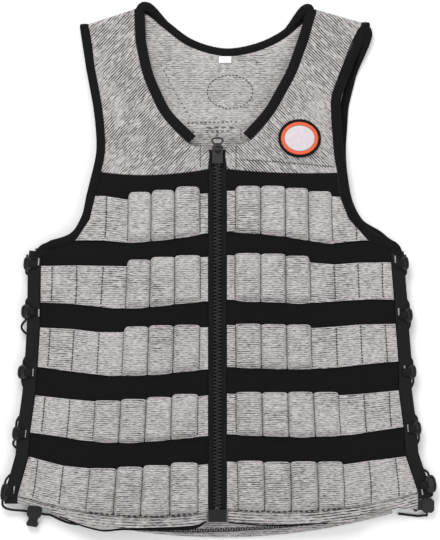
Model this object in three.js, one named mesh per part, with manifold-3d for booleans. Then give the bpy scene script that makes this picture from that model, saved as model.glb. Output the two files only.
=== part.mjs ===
// Weighted vest that lies on its back: zip front, rows of weight pockets, laced sides.
// Millimetres. +Z up, +Y to the neck, +X to the right of someone who looks down at the front.
import * as THREE from "three";
import { mergeVertices } from "three/addons/utils/BufferGeometryUtils.js";
import Module from "manifold-3d";

const wasm = await Module();
wasm.setup();

// Overall sizes
const BODY_LENGTH = 648;
const HALF_WIDTH = 264;
const FRONT_RISE = 30;
const BACK_RISE = 8.6;

// Cloth and bindings
const CLOTH = 2.2;
const GAP = 0.3;
const LAYER_GAP = 0.5;
const BINDING_THICK = 3.4;
const NECK_BINDING = 12.4;
const BACK_NECK_BINDING = 9.6;
const ARM_BINDING = 10.6;
const ROLL = 1.6;
const FOLD_RADIUS = 4.2;
const FOLD_BOTTOM = 0.8;

// Pockets
const POCKET_PITCH = 30;
const PITCH_SPREAD = 0.05;
const FIRST_STITCH = 21.6;
const POCKET_BULGE = 8;
const POCKET_LIFT = 5;
const POCKET_FLAT = 1.7;
const POCKET_COLUMNS = 7;

// Zip
const TAPE_OUTER = 11;
const TAPE_INNER = 2.6;
const TAPE_THICK = 1.2;
const TAPE_LIFT = 0.4;
const TOOTH_PITCH = 4.2;
const TOOTH_REACH = 3;
const CHAIN_HALF = 4.8;
const TEETH_THICK = 2.6;
const SLIDER_LENGTH = 21;
const SLIDER_WIDTH = 13.2;
const SLIDER_THICK = 2.4;
const BRIDGE_INNER = 1.7;
const BRIDGE_OUTER = 3.4;
const BRIDGE_WIDTH = 3;
const PIVOT_RISE = 1.8;
const PIVOT_SET_BACK = 5;
const PULLER_BAR = 1;
const PULLER_THICK = 2;
const PULLER_LENGTH = 15;
const PULLER_WIDTH = 15;
const END_BOX_LENGTH = 15;
const END_BOX_THICK = 2.4;

// Side lacing
const STRIP_WIDTH = 15.6;
const STRIP_THICK = 3;
const BACK_STRIP_THICK = 2.2;
const BACK_INSET = 1.2;
const HOOK_LENGTH = 19;
const END_HOOK_LENGTH = 22;
const BACK_HOOK_LENGTH = 13;
const BACK_HOOK_SINK = 0.2;
const HOOK_PLATE = 2.2;
const HOOK_GRIP = 12;
const HOOK_WALL = 2;
const HOOK_MOUTH = 4.9;
const HOOK_ROOM = 5;
const LACE = 2.8;
const LACE_SEAT = 0.62;
const LACE_EASE = 0.35;
const LACE_TAIL_STEPS = 9;
const LOCK_WIDTH = 17;
const LOCK_LENGTH = 15;
const LOCK_THICK = 9.4;
const LOCK_WALL = 1.4;
const LOCK_SEAT = 0.2;
const BORE_EASE = 0.4;
const BUTTON_HEAD = 6;
const BUTTON_WALL = 1.2;
const BUTTON_TRAVEL = 4;

// Badge and label
const BADGE_WIDE = 51.6;
const BADGE_HIGH = 46.2;
const BADGE_BORDER = 3;
const BADGE_RING = 4;
const BADGE_THICK = 1.4;
const LABEL_WIDE = 13;
const LABEL_HIGH = 7.6;
const LABEL_THICK = 0.6;

// Heights of the front over the surface, as shares of FRONT_RISE, and how far out its edge is, as a share of
// HALF_WIDTH
const SHOULDER_LOFT = (FOLD_BOTTOM + 2 * FOLD_RADIUS - CLOTH) / FRONT_RISE;
const DRAPE = [
  { down: 0.0, edge: SHOULDER_LOFT, ridge: SHOULDER_LOFT, spread: 0.66 },
  { down: 0.06, edge: SHOULDER_LOFT, ridge: SHOULDER_LOFT * 1.1, spread: 0.64 },
  { down: 0.12, edge: 0.27, ridge: 0.46, spread: 0.62 },
  { down: 0.2, edge: 0.3, ridge: 0.68, spread: 0.6 },
  { down: 0.3, edge: 0.33, ridge: 0.92, spread: 0.6 },
  { down: 0.38, edge: 0.34, ridge: 0.98, spread: 0.63 },
  { down: 0.43, edge: 0.36, ridge: 1.0, spread: 0.69 },
  { down: 0.47, edge: 0.38, ridge: 1.0, spread: 0.8 },
  { down: 0.75, edge: 0.38, ridge: 1.0, spread: 0.83 },
  { down: 0.84, edge: 0.38, ridge: 0.98, spread: 0.86 },
  { down: 0.91, edge: 0.38, ridge: 0.92, spread: 0.905 },
  { down: 1.0, edge: 0.38, ridge: 0.74, spread: 0.92 },
];
const ARCH_POWER = 2.6;

// Lines across the front, as shares of BODY_LENGTH down at the zip, halfway and at the side.
// reach is the share of HALF_WIDTH from the zip to the end of the line.
const FRONT_LINES = {
  left: [
    { name: "seam", zip: 0.314, middle: 0.325, side: 0.319, reach: 0.53 },
    { name: "row1_top", zip: 0.358, middle: 0.362, side: 0.363, reach: 0.557 },
    { name: "row1_mid", zip: 0.395, middle: 0.406, side: 0.406, reach: 0.582 },
    { name: "row1_bottom", zip: 0.432, middle: 0.448, side: 0.444, reach: 0.643 },
    { name: "underarm", zip: 0.456, middle: 0.474, side: 0.466, reach: 0.798 },
    { name: "row2_top", zip: 0.478, middle: 0.492, side: 0.494, reach: 0.805 },
    { name: "row2_bottom", zip: 0.556, middle: 0.572, side: 0.561, reach: 0.807 },
    { name: "row3_top", zip: 0.606, middle: 0.613, side: 0.606, reach: 0.809 },
    { name: "row3_bottom", zip: 0.681, middle: 0.695, side: 0.681, reach: 0.82 },
    { name: "row4_top", zip: 0.731, middle: 0.743, side: 0.731, reach: 0.83 },
    { name: "row4_bottom", zip: 0.806, middle: 0.819, side: 0.803, reach: 0.855 },
    { name: "row5_top", zip: 0.856, middle: 0.87, side: 0.846, reach: 0.861 },
    { name: "row5_bottom", zip: 0.946, middle: 0.952, side: 0.919, reach: 0.911 },
    { name: "hem", zip: 0.965, middle: 0.98, side: 0.934, reach: 0.911 },
  ],
  right: [
    { name: "seam", zip: 0.314, middle: 0.321, side: 0.32, reach: 0.545 },
    { name: "row1_top", zip: 0.355, middle: 0.356, side: 0.365, reach: 0.559 },
    { name: "row1_mid", zip: 0.392, middle: 0.398, side: 0.405, reach: 0.598 },
    { name: "row1_bottom", zip: 0.43, middle: 0.441, side: 0.444, reach: 0.684 },
    { name: "underarm", zip: 0.45, middle: 0.463, side: 0.463, reach: 0.789 },
    { name: "row2_top", zip: 0.474, middle: 0.483, side: 0.486, reach: 0.791 },
    { name: "row2_bottom", zip: 0.555, middle: 0.562, side: 0.556, reach: 0.805 },
    { name: "row3_top", zip: 0.602, middle: 0.604, side: 0.598, reach: 0.811 },
    { name: "row3_bottom", zip: 0.679, middle: 0.683, side: 0.671, reach: 0.825 },
    { name: "row4_top", zip: 0.728, middle: 0.728, side: 0.721, reach: 0.825 },
    { name: "row4_bottom", zip: 0.804, middle: 0.809, side: 0.792, reach: 0.848 },
    { name: "row5_top", zip: 0.853, middle: 0.859, side: 0.844, reach: 0.857 },
    { name: "row5_bottom", zip: 0.941, middle: 0.943, side: 0.913, reach: 0.914 },
    { name: "hem", zip: 0.965, middle: 0.969, side: 0.944, reach: 0.916 },
  ],
};

// Rows of each yoke from the shoulder fold down: the armhole end and the neck or zip end
const YOKE_ROWS = {
  left: [
    { arm: 0.589, armDown: 0.042, neck: 0.38, neckDown: 0.014 },
    { arm: 0.57, armDown: 0.089, neck: 0.377, neckDown: 0.067 },
    { arm: 0.561, armDown: 0.12, neck: 0.361, neckDown: 0.102 },
    { arm: 0.543, armDown: 0.159, neck: 0.339, neckDown: 0.139 },
    { arm: 0.525, armDown: 0.2, neck: 0.302, neckDown: 0.176 },
    { arm: 0.515, armDown: 0.237, neck: 0.248, neckDown: 0.217 },
    { arm: 0.511, armDown: 0.269, neck: 0.132, neckDown: 0.266 },
    { arm: 0.516, armDown: 0.293, neck: 0.043, neckDown: 0.278 },
  ],
  right: [
    { arm: 0.657, armDown: 0.039, neck: 0.452, neckDown: 0.015 },
    { arm: 0.602, armDown: 0.085, neck: 0.418, neckDown: 0.069 },
    { arm: 0.575, armDown: 0.115, neck: 0.391, neckDown: 0.1 },
    { arm: 0.548, armDown: 0.143, neck: 0.359, neckDown: 0.135 },
    { arm: 0.518, armDown: 0.18, neck: 0.311, neckDown: 0.172 },
    { arm: 0.518, armDown: 0.219, neck: 0.252, neckDown: 0.213 },
    { arm: 0.525, armDown: 0.259, neck: 0.152, neckDown: 0.26 },
    { arm: 0.532, armDown: 0.291, neck: 0.043, neckDown: 0.276 },
  ],
};

// Which pockets hold a weight, counted from the zip
const LOADED = {
  left: [[1, 2, 3], [1, 2, 3], [1, 2, 3], [1, 2, 3, 4], [1, 2, 3, 4]],
  right: [[1, 2, 3, 4], [1, 2, 3], [1, 2, 3], [1, 2, 3, 4], [1, 2, 3, 4]],
};

// Neck edge of the back between the two shoulders, and the side edges of the back
const BACK_NECK = [
  { across: -0.32, down: 0.025 },
  { across: -0.25, down: 0.048 },
  { across: -0.13, down: 0.083 },
  { across: 0.03, down: 0.101 },
  { across: 0.18, down: 0.092 },
  { across: 0.3, down: 0.07 },
  { across: 0.38, down: 0.044 },
];
const BACK_EDGES = [
  { down: 0.093, left: 0.561, right: 0.616, margin: 0.05 },
  { down: 0.139, left: 0.543, right: 0.593, margin: 0.05 },
  { down: 0.194, left: 0.516, right: 0.561, margin: 0.05 },
  { down: 0.226, left: 0.505, right: 0.555, margin: 0.05 },
  { down: 0.281, left: 0.505, right: 0.548, margin: 0.05 },
  { down: 0.333, left: 0.527, right: 0.559, margin: 0.05 },
  { down: 0.38, left: 0.557, right: 0.584, margin: 0.05 },
  { down: 0.419, left: 0.589, right: 0.639, margin: 0.06 },
  { down: 0.446, left: 0.652, right: 0.739, margin: 0.08 },
  { down: 0.474, left: 0.78, right: 0.79, margin: 0.1 },
  { down: 0.556, left: 0.795, right: 0.795, margin: 0.1 },
  { down: 0.807, left: 0.839, right: 0.836, margin: 0.1 },
  { down: 0.889, left: 0.873, right: 0.873, margin: 0.1 },
  { down: 0.92, left: 0.872, right: 0.88, margin: 0.1 },
  { down: 0.934, left: 0.762, right: 0.8, margin: 0.02 },
];
const BACK_HEM = { left: 0.953, middle: 0.9985, right: 0.953 };
const BACK_DRAPE = [
  { down: 0.0, edge: 0.093, field: 0.093 },
  { down: 0.194, edge: 0.093, field: 0.1 },
  { down: 0.226, edge: 0.12, field: 1.0 },
  { down: 0.42, edge: 0.2, field: 1.0 },
  { down: 0.474, edge: 0.385, field: 1.0 },
  { down: 0.9, edge: 0.385, field: 1.0 },
  { down: 0.945, edge: 0.3, field: 1.0 },
  { down: 0.965, edge: 0.15, field: 0.3 },
  { down: 1.0, edge: 0.1, field: 0.1 },
];
const BACK_ROWS = [
  { top: 0.236, bottom: 0.318, left: 0.445, right: 0.488 },
  { top: 0.354, bottom: 0.442, left: 0.49, right: 0.51 },
  { top: 0.478, bottom: 0.561, left: 0.67, right: 0.67 },
  { top: 0.606, bottom: 0.685, left: 0.69, right: 0.69 },
  { top: 0.731, bottom: 0.809, left: 0.71, right: 0.71 },
  { top: 0.857, bottom: 0.932, left: 0.73, right: 0.73 },
];
const BACK_GROOVE = 6;

// Where the lace hooks sit down the side strips, and the lace's holders on the back between them
const HOOKS = {
  left: [0.489, 0.578, 0.69, 0.802, 0.917],
  right: [0.489, 0.584, 0.69, 0.797, 0.903],
};
const BACK_HOOKS = [0.533, 0.639, 0.748, 0.852];
const STRIP_TOP = 0.471;
const STRIP_END = { left: 0.934, right: 0.925 };
const BACK_STRIP_TOP = 0.479;
const BACK_STRIP_END = 0.872;

// Cord locks: centre of the body as shares of HALF_WIDTH and BODY_LENGTH, and which way the button points
const LOCKS = {
  left: { across: -0.838, down: 0.952, turn: -100 },
  right: { across: 0.957, down: 0.9385, turn: 180 },
};

// The route of each tail of lace past its lock, chosen by hand: shares of HALF_WIDTH and BODY_LENGTH, and
// heights in millimetres
const LACE_TAILS = {
  left: [
    { across: -0.765, down: 0.957, up: 3.6 },
    { across: -0.72, down: 0.966, up: 2 },
    { across: -0.67, down: 0.973, up: 1.7 },
    { across: -0.61, down: 0.975, up: 1.7 },
  ],
  right: [
    { across: 0.948, down: 0.9575, up: 3.6 },
    { across: 0.92, down: 0.959, up: 2 },
    { across: 0.872, down: 0.957, up: 1.7 },
    { across: 0.828, down: 0.955, up: 1.7 },
  ],
};

// Middle of the badge, and of the size label
const BADGE = { across: 0.373, down: 0.2565 };
const LABEL = { across: 0.031, down: 0.1085 };

const PAINT = {
  heather: { color: 0xbab6b7, roughness: 0.92, metalness: 0 },
  black: { color: 0x1d1b1d, roughness: 0.85, metalness: 0 },
  binding: { color: 0x1b1a1c, roughness: 0.75, metalness: 0 },
  tape: { color: 0x1c1a1c, roughness: 0.8, metalness: 0 },
  plastic: { color: 0x1a191b, roughness: 0.38, metalness: 0 },
  lace: { color: 0x171618, roughness: 0.7, metalness: 0 },
  orange: { color: 0xf05a28, roughness: 0.6, metalness: 0 },
  pale: { color: 0xd9d2d6, roughness: 0.6, metalness: 0 },
  label: { color: 0xf0eef0, roughness: 0.7, metalness: 0 },
};

const SIDES = { left: -1, right: 1 };
const UP = new THREE.Vector3(0, 0, 1);
const vest = new THREE.Group();

// Places from shares
const xOf = (across) => across * HALF_WIDTH;
const yOf = (down) => (0.5 - down) * BODY_LENGTH;
const downOf = (y) => 0.5 - y / BODY_LENGTH;
const mix = THREE.MathUtils.lerp;

// A column of a table read between its rows
function read(table, down, key) {
  const last = table.length - 1;
  if (down <= table[0].down) return table[0][key];
  if (down >= table[last].down) return table[last][key];
  const i = table.findIndex((row) => row.down > down);
  const [a, b] = [table[i - 1], table[i]];
  return mix(a[key], b[key], (down - a.down) / (b.down - a.down));
}

// Height of the underside of the front, and of the back
function frontHeight(x, y) {
  const down = downOf(y);
  const edge = read(DRAPE, down, "edge");
  const ridge = read(DRAPE, down, "ridge");
  const out = Math.min(1, Math.abs(x) / xOf(read(DRAPE, down, "spread")));
  return FRONT_RISE * (edge + (ridge - edge) * (1 - out ** ARCH_POWER));
}
const backEdge = (down) => BACK_RISE * read(BACK_DRAPE, down, "edge");
const backField = (down) => BACK_RISE * read(BACK_DRAPE, down, "field");

// Closed geometry from points and triangle corners, turned to face out
function closed(points, corners) {
  const geometry = new THREE.BufferGeometry().setFromPoints(points);
  let volume = 0;
  for (let i = 0; i < corners.length; i += 3) {
    const [a, b, c] = [0, 1, 2].map((k) => points[corners[i + k]]);
    volume += a.dot(b.clone().cross(c));
  }
  geometry.setIndex(volume < 0 ? [...corners].reverse() : corners);
  return geometry;
}

// A sheet with thickness: two grids of points, joined round their rims
function sheet(top, bottom) {
  const rows = top.length;
  const columns = top[0].length;
  const corners = [];
  const at = (layer, r, c) => (layer * rows + r) * columns + c;
  const quad = (a, b, c, d) => corners.push(a, b, c, a, c, d);
  for (let r = 0; r < rows - 1; r++) {
    for (let c = 0; c < columns - 1; c++) {
      quad(at(0, r, c), at(0, r, c + 1), at(0, r + 1, c + 1), at(0, r + 1, c));
      const [a, b, d, e] = [at(1, r, c), at(1, r, c + 1), at(1, r + 1, c + 1), at(1, r + 1, c)];
      corners.push(a, d, b, a, e, d);
    }
  }
  const rim = [];
  for (let c = 0; c < columns - 1; c++) rim.push([0, c]);
  for (let r = 0; r < rows - 1; r++) rim.push([r, columns - 1]);
  for (let c = columns - 1; c > 0; c--) rim.push([rows - 1, c]);
  for (let r = rows - 1; r > 0; r--) rim.push([r, 0]);
  rim.forEach(([r, c], i) => {
    const [r2, c2] = rim[(i + 1) % rim.length];
    quad(at(0, r, c), at(1, r, c), at(1, r2, c2), at(0, r2, c2));
  });
  return closed([...top.flat(), ...bottom.flat()], corners);
}

// A closed tube through rings of as many points each
function tube(rings) {
  const sides = rings[0].length;
  const corners = [];
  const last = (rings.length - 1) * sides;
  for (let r = 0; r < rings.length - 1; r++) {
    for (let s = 0; s < sides; s++) {
      const [a, b] = [r * sides + s, r * sides + ((s + 1) % sides)];
      corners.push(a, b, b + sides, a, b + sides, a + sides);
    }
  }
  for (let s = 1; s < sides - 1; s++) {
    corners.push(0, s + 1, s);
    corners.push(last, last + s, last + s + 1);
  }
  return closed(rings.flat(), corners);
}

const raised = (grid, height) =>
  grid.map((row) => row.map((p) => p.clone().setZ(p.z + height)));

// Joins and cuts
function solid(geometry) {
  const bare = geometry.index ? geometry.toNonIndexed() : geometry.clone();
  const points = new THREE.BufferGeometry();
  points.setAttribute("position", bare.getAttribute("position"));
  const merged = mergeVertices(points, 1e-4);
  const mesh = new wasm.Mesh({
    numProp: 3,
    vertProperties: merged.attributes.position.array,
    triVerts: new Uint32Array(merged.index.array),
  });
  return new wasm.Manifold(mesh);
}
function geometryOf(made) {
  const mesh = made.getMesh();
  const geometry = new THREE.BufferGeometry();
  geometry.setAttribute("position", new THREE.BufferAttribute(mesh.vertProperties, 3));
  geometry.setIndex(new THREE.BufferAttribute(mesh.triVerts, 1));
  return geometry;
}
const join = (...pieces) => geometryOf(pieces.map(solid).reduce((a, b) => a.add(b)));
const cut = (piece, ...tools) =>
  geometryOf(tools.map(solid).reduce((a, b) => a.subtract(b), solid(piece)));

function piece(name, geometry, paint) {
  const mesh = new THREE.Mesh(geometry, new THREE.MeshStandardMaterial(PAINT[paint]));
  mesh.name = name;
  vest.add(mesh);
  return mesh;
}

// An outline drawn in a plane across a direction and pushed along that plane's third axis
function extruded(outline, depth, origin, across, up) {
  const shape = new THREE.Shape(outline.map(([a, b]) => new THREE.Vector2(a, b)));
  const geometry = new THREE.ExtrudeGeometry(shape, { depth, bevelEnabled: false });
  geometry.translate(0, 0, -depth / 2);
  const along = across.clone().cross(up);
  geometry.applyMatrix4(new THREE.Matrix4().makeBasis(across, up, along).setPosition(origin));
  return geometry;
}

// The lattice of the front: columns are the zip edge, the stitch lines and the side
const pocketPitch = (down) =>
  POCKET_PITCH * (1 + PITCH_SPREAD * THREE.MathUtils.clamp((down - 0.66) / 0.26, -1, 1));
function columnsOf(line) {
  const reach = xOf(line.reach);
  const pitch = pocketPitch(line.middle);
  const wanted = [TAPE_OUTER + GAP];
  for (let k = 0; k < POCKET_COLUMNS; k++) wanted.push(FIRST_STITCH + k * pitch);
  const fit = wanted.filter((out) => out < reach - pitch / 4);
  const spare = wanted.length - fit.length;
  const last = fit[fit.length - 1];
  for (let k = 1; k <= spare; k++) fit.push(mix(last, reach, k / (spare + 1)));
  return [...fit, reach];
}
function lineY(line, share) {
  const [a, b, c] = [line.zip, line.middle, line.side].map(yOf);
  return (
    2 * a * (share - 0.5) * (share - 1) - 4 * b * share * (share - 1) + 2 * c * share * (share - 0.5)
  );
}
function linePoints(side, line, lower = 0) {
  const outs = columnsOf(line);
  const [first, reach] = [outs[0], outs[outs.length - 1]];
  return outs.map((out) => {
    const x = SIDES[side] * out;
    const y = lineY(line, (out - first) / (reach - first)) - lower;
    return new THREE.Vector3(x, y, frontHeight(x, y));
  });
}
const lineNamed = (side, name) => FRONT_LINES[side].find((line) => line.name === name);

// Black base of each front half, from the yoke seam to the hem band
function frontBase(side) {
  const lines = FRONT_LINES[side].slice(0, -1);
  const grid = lines.map((line) => linePoints(side, line));
  piece(`front_base_${side}`, sheet(raised(grid, CLOTH), grid), "black");
}

// Hem band, edge to edge with the base
function frontHem(side) {
  const upper = linePoints(side, lineNamed(side, "row5_bottom"), GAP);
  const lower = linePoints(side, lineNamed(side, "hem"));
  const middle = upper.map((p, i) => p.clone().lerp(lower[i], 0.5));
  const grid = [upper, middle, lower];
  piece(`front_hem_${side}`, sheet(raised(grid, CLOTH), grid), "heather");
}

// A strip of pockets on the base. A loaded pocket bulges and stands a little over the band above it.
const CELL = [0.2, 0.8];
const POCKET_HEIGHTS = [
  { share: 0, height: 0.86, lift: 1 },
  { share: 0.5, height: 1, lift: 0 },
  { share: 0.86, height: 0.86, lift: 0 },
  { share: 1, height: 0.3, lift: 0 },
];
function pocketRow(side, row) {
  const drawn = (part) => {
    const found = lineNamed(side, `row${row}_${part}`);
    return found && linePoints(side, found);
  };
  const [top, bottom] = [drawn("top"), drawn("bottom")];
  const mid = drawn("mid") ?? top.map((p, k) => p.clone().lerp(bottom[k], 0.5));
  const line = lineNamed(side, `row${row}_top`);
  const used = columnsOf(line).filter((out, k) => out <= FIRST_STITCH + (k - 1) * POCKET_PITCH * 1.2);
  const pitch = pocketPitch(line.middle);
  const whole = columnsOf(line).filter(
    (out, k) => k === 0 || Math.abs(out - FIRST_STITCH - (k - 1) * pitch) < GAP,
  ).length;
  const keep = [...Array(Math.min(whole, used.length)).keys(), top.length - 1];
  const stations = [];
  keep.slice(0, -1).forEach((k, i) => {
    const next = keep[i + 1];
    const loaded = LOADED[side][row - 1].includes(k);
    stations.push({ k, next, share: 0, loaded: false });
    if (loaded) CELL.forEach((share) => stations.push({ k, next, share, loaded: true }));
  });
  stations.push({ k: top.length - 1, next: top.length - 1, share: 0, loaded: false });
  const at = (line, s) => line[s.k].clone().lerp(line[s.next], s.share);
  const grid = { upper: [], lower: [] };
  for (const { share, height, lift } of POCKET_HEIGHTS) {
    const lower = stations.map((s) => {
      const p =
        share < 0.5
          ? at(top, s).lerp(at(mid, s), share * 2)
          : at(mid, s).lerp(at(bottom, s), share * 2 - 1);
      return p.setZ(p.z + CLOTH + LAYER_GAP);
    });
    grid.lower.push(lower);
    grid.upper.push(
      lower.map((p, i) => {
        const thick = stations[i].loaded ? Math.max(POCKET_FLAT, POCKET_BULGE * height) : POCKET_FLAT;
        return p.clone().setZ(p.z + thick);
      }),
    );
    if (lift > 0) {
      [grid.lower, grid.upper].forEach((g) =>
        g[g.length - 1].forEach((p, i) => {
          if (stations[i].loaded) p.y += POCKET_LIFT * lift;
        }),
      );
    }
  }
  piece(`front_pockets_${row}_${side}`, sheet(grid.upper, grid.lower), "heather");
}

// Turns of the rows of a shoulder fold, from the top of the front down to the back
const FOLD_TURNS = [90, 40, -10, -60, -90].map(THREE.MathUtils.degToRad);
const FOLD_HEIGHT = FOLD_BOTTOM + FOLD_RADIUS;
function foldPoint(edge, turn, radius) {
  return new THREE.Vector3(
    edge.x,
    edge.y - FOLD_RADIUS + radius * Math.cos(turn),
    FOLD_HEIGHT + radius * Math.sin(turn),
  );
}
function yokeEnds(side) {
  const sign = SIDES[side];
  return YOKE_ROWS[side].map((row) => ({
    arm: new THREE.Vector3(sign * xOf(row.arm), yOf(row.armDown), 0),
    neck: new THREE.Vector3(sign * xOf(row.neck), yOf(row.neckDown), 0),
  }));
}
function yokeShares(side) {
  const outs = columnsOf(lineNamed(side, "seam"));
  const reach = outs[outs.length - 1];
  return outs.map((out) => (out - outs[0]) / (reach - outs[0]));
}
function yoke(side) {
  const ends = yokeEnds(side);
  const shares = yokeShares(side);
  const flat = ({ neck, arm }) => shares.map((share) => neck.clone().lerp(arm, share));
  const inner = [];
  const outer = [];
  for (const turn of [...FOLD_TURNS].reverse()) {
    inner.push(flat(ends[0]).map((p) => foldPoint(p, turn, FOLD_RADIUS - CLOTH)));
    outer.push(flat(ends[0]).map((p) => foldPoint(p, turn, FOLD_RADIUS)));
  }
  for (const end of ends.slice(1)) {
    const row = flat(end).map((p) => p.setZ(frontHeight(p.x, p.y)));
    inner.push(row);
    outer.push(row.map((p) => p.clone().setZ(p.z + CLOTH)));
  }
  const seam = linePoints(side, lineNamed(side, "seam"), -GAP);
  inner.push(seam);
  outer.push(seam.map((p) => p.clone().setZ(p.z + CLOTH)));
  piece(`yoke_${side}`, sheet(outer, inner), "heather");
}

// Back panel: from the shoulders and the neck edge to the hem
const SHOULDER_SHARES = [0, 0.5, 1];
function backTop() {
  const shoulder = (side, shares) => {
    const { arm, neck } = yokeEnds(side)[0];
    const seam = (share) => arm.clone().lerp(neck, share);
    return shares.map((share) => seam(share).setY(seam(share).y - FOLD_RADIUS - GAP));
  };
  const neck = BACK_NECK.map(({ across, down }) => new THREE.Vector3(xOf(across), yOf(down), 0));
  return [
    ...shoulder("left", SHOULDER_SHARES),
    ...neck,
    ...shoulder("right", [...SHOULDER_SHARES].reverse()),
  ];
}
function backGrid() {
  const top = backTop();
  const last = top.length - 1;
  const [first, final] = [top[1].x, top[last - 1].x];
  const shares = top.map((p) => (p.x - first) / (final - first));
  const row = (edge, yAt) => {
    const [left, right] = [-xOf(edge.left), xOf(edge.right)];
    const margin = xOf(edge.margin);
    return shares.map((share, c) => {
      if (c === 0) return new THREE.Vector3(left, yAt(0), 0);
      if (c === last) return new THREE.Vector3(right, yAt(1), 0);
      const x = mix(left + margin, right - margin, share);
      return new THREE.Vector3(x, yAt((x - left) / (right - left)), 0);
    });
  };
  const rows = BACK_EDGES.map((edge) => row(edge, () => yOf(edge.down)));
  const neckLow = Math.max(...BACK_NECK.map((p) => p.down));
  const below = rows.filter((r) => downOf(r[1].y) > neckLow + 0.02);
  const above = row(BACK_EDGES[0], () => yOf(BACK_EDGES[0].down)).map((p, c) =>
    p.lerp(top[c], c === 0 || c === last ? 0 : 0.5),
  );
  above.forEach((p, c) => {
    if (c > 0 && c < last) p.y = mix(below[0][c].y, top[c].y, 0.5);
  });
  const hem = row(BACK_EDGES[BACK_EDGES.length - 1], (share) =>
    lineY({ zip: BACK_HEM.left, middle: BACK_HEM.middle, side: BACK_HEM.right }, share),
  );
  const grid = [top, above, ...below, hem];
  grid.forEach((points) =>
    points.forEach((p, c) => {
      const down = downOf(p.y);
      p.z = c === 0 || c === last ? backEdge(down) : backField(down);
    }),
  );
  return grid;
}
const BACK = backGrid();
const BACK_ENDS = {
  left: BACK.map((row) => row[0]),
  right: BACK.map((row) => row[row.length - 1]),
};
function backPanel() {
  piece("back_panel", sheet(raised(BACK, CLOTH), BACK), "heather");
}

// Loaded pocket rows on the outside of the back: the vest lies on their faces
function backPockets(row, index) {
  const [left, right] = [-xOf(row.left), xOf(row.right)];
  const top = BACK_RISE - GAP;
  const count = Math.round((right - left) / POCKET_PITCH);
  const step = (right - left) / count;
  const outline = [[left, top], [left, BACK_GROOVE]];
  for (let k = 0; k < count; k++) {
    const x = left + k * step;
    outline.push([x + step * 0.14, 0], [x + step * 0.86, 0], [x + step, BACK_GROOVE]);
  }
  outline.push([right, top]);
  const [high, low] = [yOf(row.top), yOf(row.bottom)];
  const origin = new THREE.Vector3(0, (high + low) / 2, 0);
  const across = new THREE.Vector3(1, 0, 0);
  piece(`back_pockets_${index + 1}`, extruded(outline, high - low, origin, across, UP), "heather");
}

// Section of a binding at an edge point: across leads off the cloth, normal is the outer face's direction
function bindingRing(point, across, normal, width) {
  const half = BINDING_THICK / 2;
  const section = [[GAP, -half], [width - ROLL, -half], [width, 0], [width - ROLL, half], [GAP, half]];
  return section.map(([a, b]) => point.clone().addScaledVector(across, a).addScaledVector(normal, b));
}
// The way off the cloth at each point of an edge that is walked with the cloth on the given hand
function edgeNormals(points, hand) {
  return points.map((p, i) => {
    const turned = new THREE.Vector3();
    const add = (a, b) => {
      const d = new THREE.Vector3(b.x - a.x, b.y - a.y, 0).normalize();
      turned.add(new THREE.Vector3(-d.y * hand, d.x * hand, 0));
    };
    if (i > 0) add(points[i - 1], p);
    if (i < points.length - 1) add(p, points[i + 1]);
    return turned.normalize();
  });
}
const onFront = (p) => p.clone().setZ(frontHeight(p.x, p.y) + CLOTH / 2);
const onBack = (p) => p.clone().setZ(p.z + CLOTH / 2);
function foldRings(edge, across, width) {
  return FOLD_TURNS.map((turn) => {
    const normal = new THREE.Vector3(0, Math.cos(turn), Math.sin(turn));
    return bindingRing(foldPoint(edge, turn, FOLD_RADIUS - CLOTH / 2), across, normal, width);
  });
}

// How far the end of an armhole binding leans up where it turns the corner onto the side strip
const CORNER_LEAN = 0.3;

// Armhole binding: up the front edge, over the shoulder and down the back edge
function armholeBinding(side) {
  const hand = SIDES[side];
  const names = ["underarm", "row1_bottom", "row1_mid", "row1_top", "seam"];
  const lower = names.map((name) => linePoints(side, lineNamed(side, name)).pop());
  const ends = yokeEnds(side).map(({ arm }) => arm);
  const front = [...lower, ...ends.slice(1).reverse()].map(onFront);
  const frontOut = edgeNormals(front, -hand);
  const back = BACK_ENDS[side].filter((p) => downOf(p.y) < STRIP_TOP + 0.004).map(onBack);
  const backOut = edgeNormals(back, hand);
  const out = new THREE.Vector3(hand, 0, 0);
  const corner = new THREE.Vector3(hand, CORNER_LEAN, 0).normalize();
  const down = UP.clone().negate();
  piece(
    `armhole_binding_${side}`,
    tube([
      bindingRing(front[0], corner, UP, ARM_BINDING),
      ...front.map((p, i) => bindingRing(p, frontOut[i], UP, ARM_BINDING)),
      ...foldRings(ends[0], out, ARM_BINDING),
      ...back.slice(1).map((p, i) => bindingRing(p, backOut[i + 1], down, ARM_BINDING)),
      bindingRing(back[back.length - 1], corner, down, ARM_BINDING),
    ]),
    "binding",
  );
}

// Neck binding: down each front edge to the zip corner, and round the back of the neck
function neckSide(side) {
  const hand = SIDES[side];
  const ends = yokeEnds(side).map(({ neck }) => neck);
  const edge = ends.slice(1, -1).reverse().map(onFront);
  const out = edgeNormals(edge, hand);
  const inward = new THREE.Vector3(-hand, 0, 0);
  return tube([
    ...edge.map((p, i) => bindingRing(p, out[i], UP, NECK_BINDING)),
    ...foldRings(ends[0], inward, NECK_BINDING),
  ]);
}
// How far past each shoulder corner the back stretch begins, as a share of the first piece of the neck edge
const NECK_START = { left: 0.5, right: 0.2 };
function neckBack() {
  const top = BACK[0].slice(SHOULDER_SHARES.length - 1, 1 - SHOULDER_SHARES.length).map(onBack);
  const last = top.length - 1;
  top[0] = top[0].clone().lerp(top[1], NECK_START.left);
  top[last] = top[last].clone().lerp(top[last - 1], NECK_START.right);
  const out = edgeNormals(top, 1);
  const down = UP.clone().negate();
  return tube(top.map((p, i) => bindingRing(p, out[i], down, BACK_NECK_BINDING)));
}
function neckBinding() {
  piece("neck_binding", join(neckSide("left"), neckBack(), neckSide("right")), "binding");
}

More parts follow.
